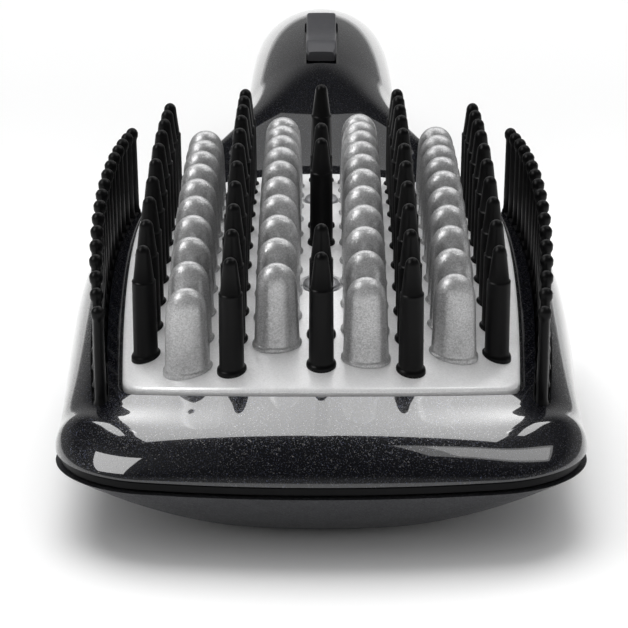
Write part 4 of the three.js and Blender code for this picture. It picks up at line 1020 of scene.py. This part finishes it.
def dome(r, low, high, steps, power=2.0):
    """Profile of a rounded end from radius r at one height to the axis at another."""
    pairs = []
    for k in range(1, steps + 1):
        a = math.pi / 2 * k / steps
        out = r * max(0, math.cos(a)) ** (2 / power)
        pairs.append((out, low + (high - low) * math.sin(a) ** (2 / power)))
    return pairs


PIN_PROFILE = [
    (0, -2.2), (2.12, -2.2), (2.15, 0.25), (2.1, 0.42), (1.98, 0.52), (1.86, 0.62), (1.8, 0.85),
    (1.72, 11.7), (1.74, 11.86), (1.72, 12.0), (1.6, 12.08), (1.52, 12.2), (1.03, 16.3),
    *dome(1.03, 16.3, PIN_LENGTH, 7),
]
TOOTH_PROFILE = [
    (0, 0.02), (2.74, 0.02), (2.78, 0.2), (2.74, 0.42), (2.62, 0.52), (2.56, 0.62), (2.54, 0.74),
    (2.52, 1.0), (2.34, 7.9), (2.3, 8.6), *dome(2.28, 8.8, TOOTH_HEIGHT, 14, 2.15),
]
RAIL_PROFILE = [
    (0, -1.2), (1.15, -1.2), (1.1, 0.1), (0.92, 0.5), (0.86, 1.2), (0.74, RAIL_HEIGHT - 2.3),
    (0.78, RAIL_HEIGHT - 2.0), (0.98, RAIL_HEIGHT - 1.55),
    *dome(1.05, RAIL_HEIGHT - 1.15, RAIL_HEIGHT, 6),
]


def make_pin_rows():
    half, top = PIN_BAR
    form = revolved(PIN_PROFILE, PIN_SIDES)
    for i, row in enumerate(PIN_ROWS):
        x = (i - 2) * 2 * ROW_PITCH
        places = [PIN_START + n * PIN_PITCH for n in row]
        parts = [bar(x, half, places, top), *(stood(*form, x, u) for u in places)]
        name = f"bristle_row_{i + 1}"
        pins = gathered(name + "_pins", parts)
        dressed(pins, PIN_BLACK, "handpiece", name, sharp=50)


def make_combs():
    half, top = TOOTH_BAR
    form = revolved(TOOTH_PROFILE, TOOTH_SIDES)
    for i, (first, count) in enumerate(TOOTH_ROWS):
        x = (2 * i - 3) * ROW_PITCH
        places = [PIN_START + first + n * TOOTH_PITCH for n in range(count)]
        parts = [bar(x, half, places, top), *(stood(*form, x, u, TOOTH_OVAL) for u in places)]
        name = f"heated_comb_{i + 1}"
        teeth = gathered(name + "_teeth", parts)
        dressed(teeth, TEETH_SILVER_PAINTED_SHADE, "handpiece", name, sharp=60)


def make_rail(side, name):
    half = RAIL_WIDTH / 2
    flat = half - RAIL_BEVEL
    section = [(half, -RAIL_DEPTH), (half, RAIL_SHOULDER), (flat, RAIL_TOP), (-flat, RAIL_TOP),
               (-half, RAIL_SHOULDER), (-half, -RAIL_DEPTH)]
    wall = rail_wall(f"{name}_comb", side, section, half)
    points, faces = revolved(RAIL_PROFILE, RAIL_PIN_SIDES)
    parts = []
    for n in range(RAIL_PINS):
        u = RAIL_START + n * RAIL_PITCH
        x = side * rail_x(u)
        base = face_z(x, u) - RING_BELOW
        parts.append(([in_face(x + px, u + py, base + pz) for px, py, pz in points], faces))
    for piece in (wall, gathered(f"{name}_pins", parts)):
        dressed(piece, PIN_BLACK, "handpiece", name, sharp=50)


make_pin_rows()
make_combs()
make_rail(-1, "side_rail_left")
make_rail(1, "side_rail_right")


# Plate screws

PLATE_SCREW_PROFILE = [
    (0, -10), (1.3, -10), (1.3, -0.2), (2.7, -0.1), (2.78, 0.1), (2.78, 0.5), (2.6, 0.78),
    (2.2, 0.92), (1.2, 1.0), (0, 1.0),
]


def lobed(radius):
    """Plan loop of a six-lobed socket."""
    points = []
    count = SOCKET_LOBES * LOBE_STEPS
    for i in range(count):
        a = 2 * math.pi * i / count
        r = radius * (1 - LOBE_DEPTH + LOBE_DEPTH * math.cos(SOCKET_LOBES * a))
        points.append((r * math.cos(a), r * math.sin(a)))
    return points


def make_plate_screw(name, u):
    place = in_centre_line(u, face_z(0, u) - RECESS_DEPTH + CLEARANCE)
    head = turned(f"{name}_head", place, PLATE_SCREW_PROFILE, SCREW_SIDES)
    socket = stacked("socket", place, [(lobed(radius), z) for radius, z in SOCKET_LOOPS])
    dressed(cut(head, [socket]), STEEL, "handpiece", name, sharp=30)


for number, place_u in enumerate(screw_places(), 1):
    make_plate_screw(f"plate_screw_{number}", place_u)


# Slide switch

def knob_ring(v):
    """Section of the knob at a distance from its middle: a dished top with soft edges."""
    half = KNOB_LENGTH / 2
    near = min(v + half, half - v)
    dish = KNOB_HOLLOW * math.cos(math.pi * v / (2 * half)) ** 2
    dish *= 1 - smooth(KNOB_DISH_END, 1, abs(v) / half)
    z = mix(KNOB_END_RISE, KNOB_RISE - dish, smooth(0, KNOB_END, near) ** KNOB_END_POWER)
    wide = KNOB_WIDTH / 2 - KNOB_END_IN * (1 - smooth(0, 1, near))
    floor = -CHANNEL_DEPTH + CLEARANCE
    right = [(wide, z - KNOB_EDGE), (wide - KNOB_BEVEL, z - KNOB_BEVEL), (wide - KNOB_EDGE, z),
             (wide * KNOB_CROWN_SHARE, z + KNOB_CROWN)]
    left = [(-x, height) for x, height in reversed(right)]
    section = [(-wide, floor), (wide, floor), *right, *left]
    return [in_switch(x, v + TRAVEL / 2, height) for x, height in section]


def make_knob():
    half = KNOB_LENGTH / 2
    rings = [knob_ring(mix(-half, half, k / KNOB_STEPS)) for k in range(KNOB_STEPS + 1)]
    return tube("switch_knob_cap", rings)


dressed(make_knob(), SATIN_BLACK, "switch", "switch_knob", sharp=50)


# Tail

def bevelled(corners, r, steps):
    """Rounds each corner of a closed (radius, height) profile."""
    found = []
    for i, p in enumerate(corners):
        p = Vector(p)
        back = Vector(corners[i - 1]) - p
        ahead = Vector(corners[(i + 1) % len(corners)]) - p
        size = min(r, back.length * EDGE_SHARE, ahead.length * EDGE_SHARE)
        p0, p1 = p + back.normalized() * size, p + ahead.normalized() * size
        for k in range(steps + 1):
            t = k / steps
            q = p0 * (1 - t) ** 2 + p * 2 * t * (1 - t) + p1 * t ** 2
            found.append((q.x, q.y))
    return [*found, found[0]]


def make_tail_cap():
    rim = handle_radius(TAIL_Y) - CAP_RIM_IN
    plug = handle_radius(TAIL_Y) - CROWN_WALL - CAP_PLUG_IN
    face = CLEARANCE
    corners = [
        (CAP_BORE, -CAP_DEPTH), (plug, -CAP_DEPTH), (plug, face), (rim, face),
        (rim, face + CAP_STEP), (rim - CAP_CHAMFER, face + CAP_FACE),
        (CAP_BORE, face + CAP_FACE),
    ]
    return turned("tail_cap_turned", along_tail, bevelled(corners, r=0.25, steps=4), CAP_SIDES)


# Cord swivel, as (radius, height): up to its flange's face, its neck and end, and one rib
SWIVEL_INNER = [
    (2.6, -6), (4.5, -6), (4.5, -4), (3.5, -4), (3.5, -2.4), (6.5, -2.4), (6.5, 0), (4.5, 0),
]
SWIVEL_NECK = [(4.5, 1)]
SWIVEL_END = [(3.3, 7), (2.6, 7)]
SWIVEL_RIB = [(4.5, 0), (4.2, 0.15), (4.2, 0.55), (4.45, 0.7)]


def raised(profile, z0):
    return [(r, z0 + z) for r, z in profile]


def make_cord_swivel():
    out = CLEARANCE + CAP_FACE
    corners = raised(SWIVEL_INNER, -CAP_DEPTH - CLEARANCE) + raised(SWIVEL_NECK, out)
    for k in range(RIBS):
        corners += raised(SWIVEL_RIB, out + RIB_START + k * RIB_PITCH)
    corners += raised(SWIVEL_END, out)
    profile = bevelled(corners, r=0.12, steps=2)
    return turned("cord_swivel_turned", along_tail, profile, SWIVEL_SIDES)


dressed(make_tail_cap(), SATIN_BLACK, "handpiece", "tail_cap", sharp=50)
dressed(make_cord_swivel(), PIN_BLACK, "swivel", "cord_swivel", sharp=50)


# CAD pieces that stay

def finish_inner_pieces():
    for name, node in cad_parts.items():
        if node.hide_render:
            continue
        key = max((k for k in INNER if name.startswith(k)), key=len)
        node.data.materials.clear()
        node.data.materials.append(INNER[key])


finish_inner_pieces()

# Floor: half its size, and the distances between which it starts to glow white, in metres;
# without the glow nearer the object, the floor round it is painted shade on top of its real shadow
FLOOR_HALF = 3
FLOOR_SHADE_TO_GLOW = (0.2, 0.6)
FLOOR_GLOW = 0.12

# World: the backdrop and the wall behind it each fade between two elevations, from one strength
# to another
WORLD_DIFFUSE = 0.64
BACKDROP = (-2, 4, 1.0, 0.0)
REAR_WALL = (14, 36, 0.2, 0.03)

# Key light, with its angles in degrees
KEY_ENERGY = 1.7
KEY_ANGLE = 50
KEY_TURN = (-20, -9)

# Panels: each lies in a direction, azimuth from the rear to the right and elevation, from a point
# in millimetres that it faces. With INCLUDE one lights the top housing alone, with EXCLUDE all
# but it
HEAD_POINT = (0, 10, 18)
TOUCHING = 0.001
CORNER_CARD = dict(distance=TOUCHING, size=(0.0055, 0.011), radiance=4.1, housing="INCLUDE")
STRIP_POINT = (22, 4, 15)
PANELS = {
    "rear_softbox": dict(
        azimuth=0, elevation=46, distance=0.19, size=(0.28, 0.081), radiance=2.0, lights=True,
        housing="EXCLUDE"),
    "ring_card": dict(
        azimuth=0, elevation=35, distance=TOUCHING, size=(0.06, 0.0158), radiance=3.7,
        about=(0, 17.0, 26.8), housing="INCLUDE"),
    "left_corner_card": dict(azimuth=-27, elevation=46, about=(-38.3, 29.5, 39), **CORNER_CARD),
    "right_corner_card": dict(azimuth=27, elevation=46, about=(38.3, 29.5, 39), **CORNER_CARD),
    "throat_card": dict(
        azimuth=0, elevation=58, distance=0.1, size=(0.06, 0.022), radiance=0.8,
        about=(0, 121.5, 33)),
    "left_window": dict(
        azimuth=-104, elevation=46, distance=0.7, size=(0.34, 0.5), radiance=5.5, roll=39,
        about=(-28, 5, 14)),
    "right_strip": dict(
        azimuth=80, elevation=62, distance=0.7, size=(0.2, 0.5), radiance=1.5, roll=14,
        about=STRIP_POINT),
    "right_strip_core": dict(
        azimuth=79, elevation=61, distance=0.7, size=(0.15, 0.42), radiance=1.6, roll=14,
        about=STRIP_POINT),
}

# Camera: its place in millimetres and its elevation in degrees, and the focal length and the
# image's middle in pixels of a square image
CAMERA_PLACE = (0, -334.9, 136.9)
CAMERA_ELEVATION = 15.5
IMAGE_SIZE = 628
FOCAL_LENGTH = 2607.9
IMAGE_MIDDLE = (321.3, 262)
SENSOR_WIDTH = 36
CLIPPING = (0.02, 20)


def lay_floor():
    mesh = bpy.data.meshes.new("floor")
    corners = [(x * FLOOR_HALF, y * FLOOR_HALF, 0) for x, y in ((-1, -1), (1, -1), (1, 1), (-1, 1))]
    mesh.from_pydata(corners, [], [(0, 1, 2, 3)])
    n = new_material("pale_floor")
    away = n.vector("LENGTH", n.places["Object"])
    # No glow near the object: painted shade round it, on top of its real shadow
    glow = n.math("MULTIPLY", n.seen(), n.ramp(away, *FLOOR_SHADE_TO_GLOW, 0, FLOOR_GLOW))
    n.set(
        Base_Color=(0.93, 0.93, 0.93), Roughness=0.6, Specular_IOR_Level=0.2,
        Emission_Color=(1, 1, 1), Emission_Strength=glow,
    )
    mesh.materials.append(n.owner)
    new_object("floor", mesh)


def fill_world():
    world = bpy.data.worlds.new("studio")
    bpy.context.scene.world = world
    n = Nodes(world, "Background")
    split = n.add("ShaderNodeSeparateXYZ")
    n.feed(split.inputs["Vector"], n.places["Generated"])
    fades = []
    for low, high, bright, dark in (BACKDROP, REAR_WALL):
        span = (math.sin(math.radians(low)), math.sin(math.radians(high)))
        fades.append(n.ramp(split.outputs["Z"], *span, bright, dark, "SMOOTHSTEP"))
    strength = n.ramp(n.seen(), 0, 1, WORLD_DIFFUSE, n.math("MAXIMUM", *fades))
    n.set(Color=(1, 1, 1), Strength=strength)


def key_light():
    key = new_object("key", bpy.data.lights.new("key", "SUN"))
    key.data.energy = KEY_ENERGY
    key.data.angle = math.radians(KEY_ANGLE)
    key.visible_glossy = False
    key.rotation_euler = (math.radians(KEY_TURN[0]), math.radians(KEY_TURN[1]), 0)


def link_housing(lamp, state):
    """Lets a lamp reach the top housing alone, or all but it."""
    pieces = bpy.data.collections.new(lamp.name + "_pieces")
    pieces.objects.link(bpy.data.objects["top_housing_shell"])
    pieces.collection_objects[0].light_linking.link_state = state
    lamp.light_linking.receiver_collection = pieces


def panel(name, azimuth, elevation, distance, size, radiance,
          roll=0, about=HEAD_POINT, lights=False, housing=None):
    """A lit panel; one that doesn't light is only seen in gloss."""
    data = bpy.data.lights.new(name, "AREA")
    data.shape = "RECTANGLE"
    data.size, data.size_y = size
    data.energy = radiance * math.pi * size[0] * size[1]
    lamp = new_object(name, data)
    lamp.visible_diffuse = lights
    lamp.visible_camera = False
    a, e = math.radians(azimuth), math.radians(elevation)
    away = Vector((math.sin(a) * math.cos(e), math.cos(a) * math.cos(e), math.sin(e)))
    lamp.location = Vector(to_row(about)) + away * distance
    turn = (-away).to_track_quat("-Z", "Y").to_matrix()
    turn = turn @ Matrix.Rotation(math.radians(roll), 3, "Z")
    lamp.rotation_euler = turn.to_euler()
    if housing:
        link_housing(lamp, housing)


def place_camera():
    data = bpy.data.cameras.new("camera")
    camera = new_object("camera", data)
    elevation = math.radians(CAMERA_ELEVATION)
    camera.location = to_row(CAMERA_PLACE)
    ahead = Vector((0, math.cos(elevation), -math.sin(elevation)))
    camera.rotation_euler = ahead.to_track_quat("-Z", "Y").to_euler()
    data.sensor_width = SENSOR_WIDTH
    data.lens = SENSOR_WIDTH * FOCAL_LENGTH / IMAGE_SIZE
    data.shift_x = (IMAGE_SIZE / 2 - IMAGE_MIDDLE[0]) / IMAGE_SIZE
    data.shift_y = (IMAGE_MIDDLE[1] - IMAGE_SIZE / 2) / IMAGE_SIZE
    data.clip_start, data.clip_end = CLIPPING
    bpy.context.scene.camera = camera


lay_floor()
fill_world()
key_light()
for panel_name, settings in PANELS.items():
    panel(panel_name, **settings)
place_camera()
bpy.context.scene.view_settings.view_transform = "Standard"
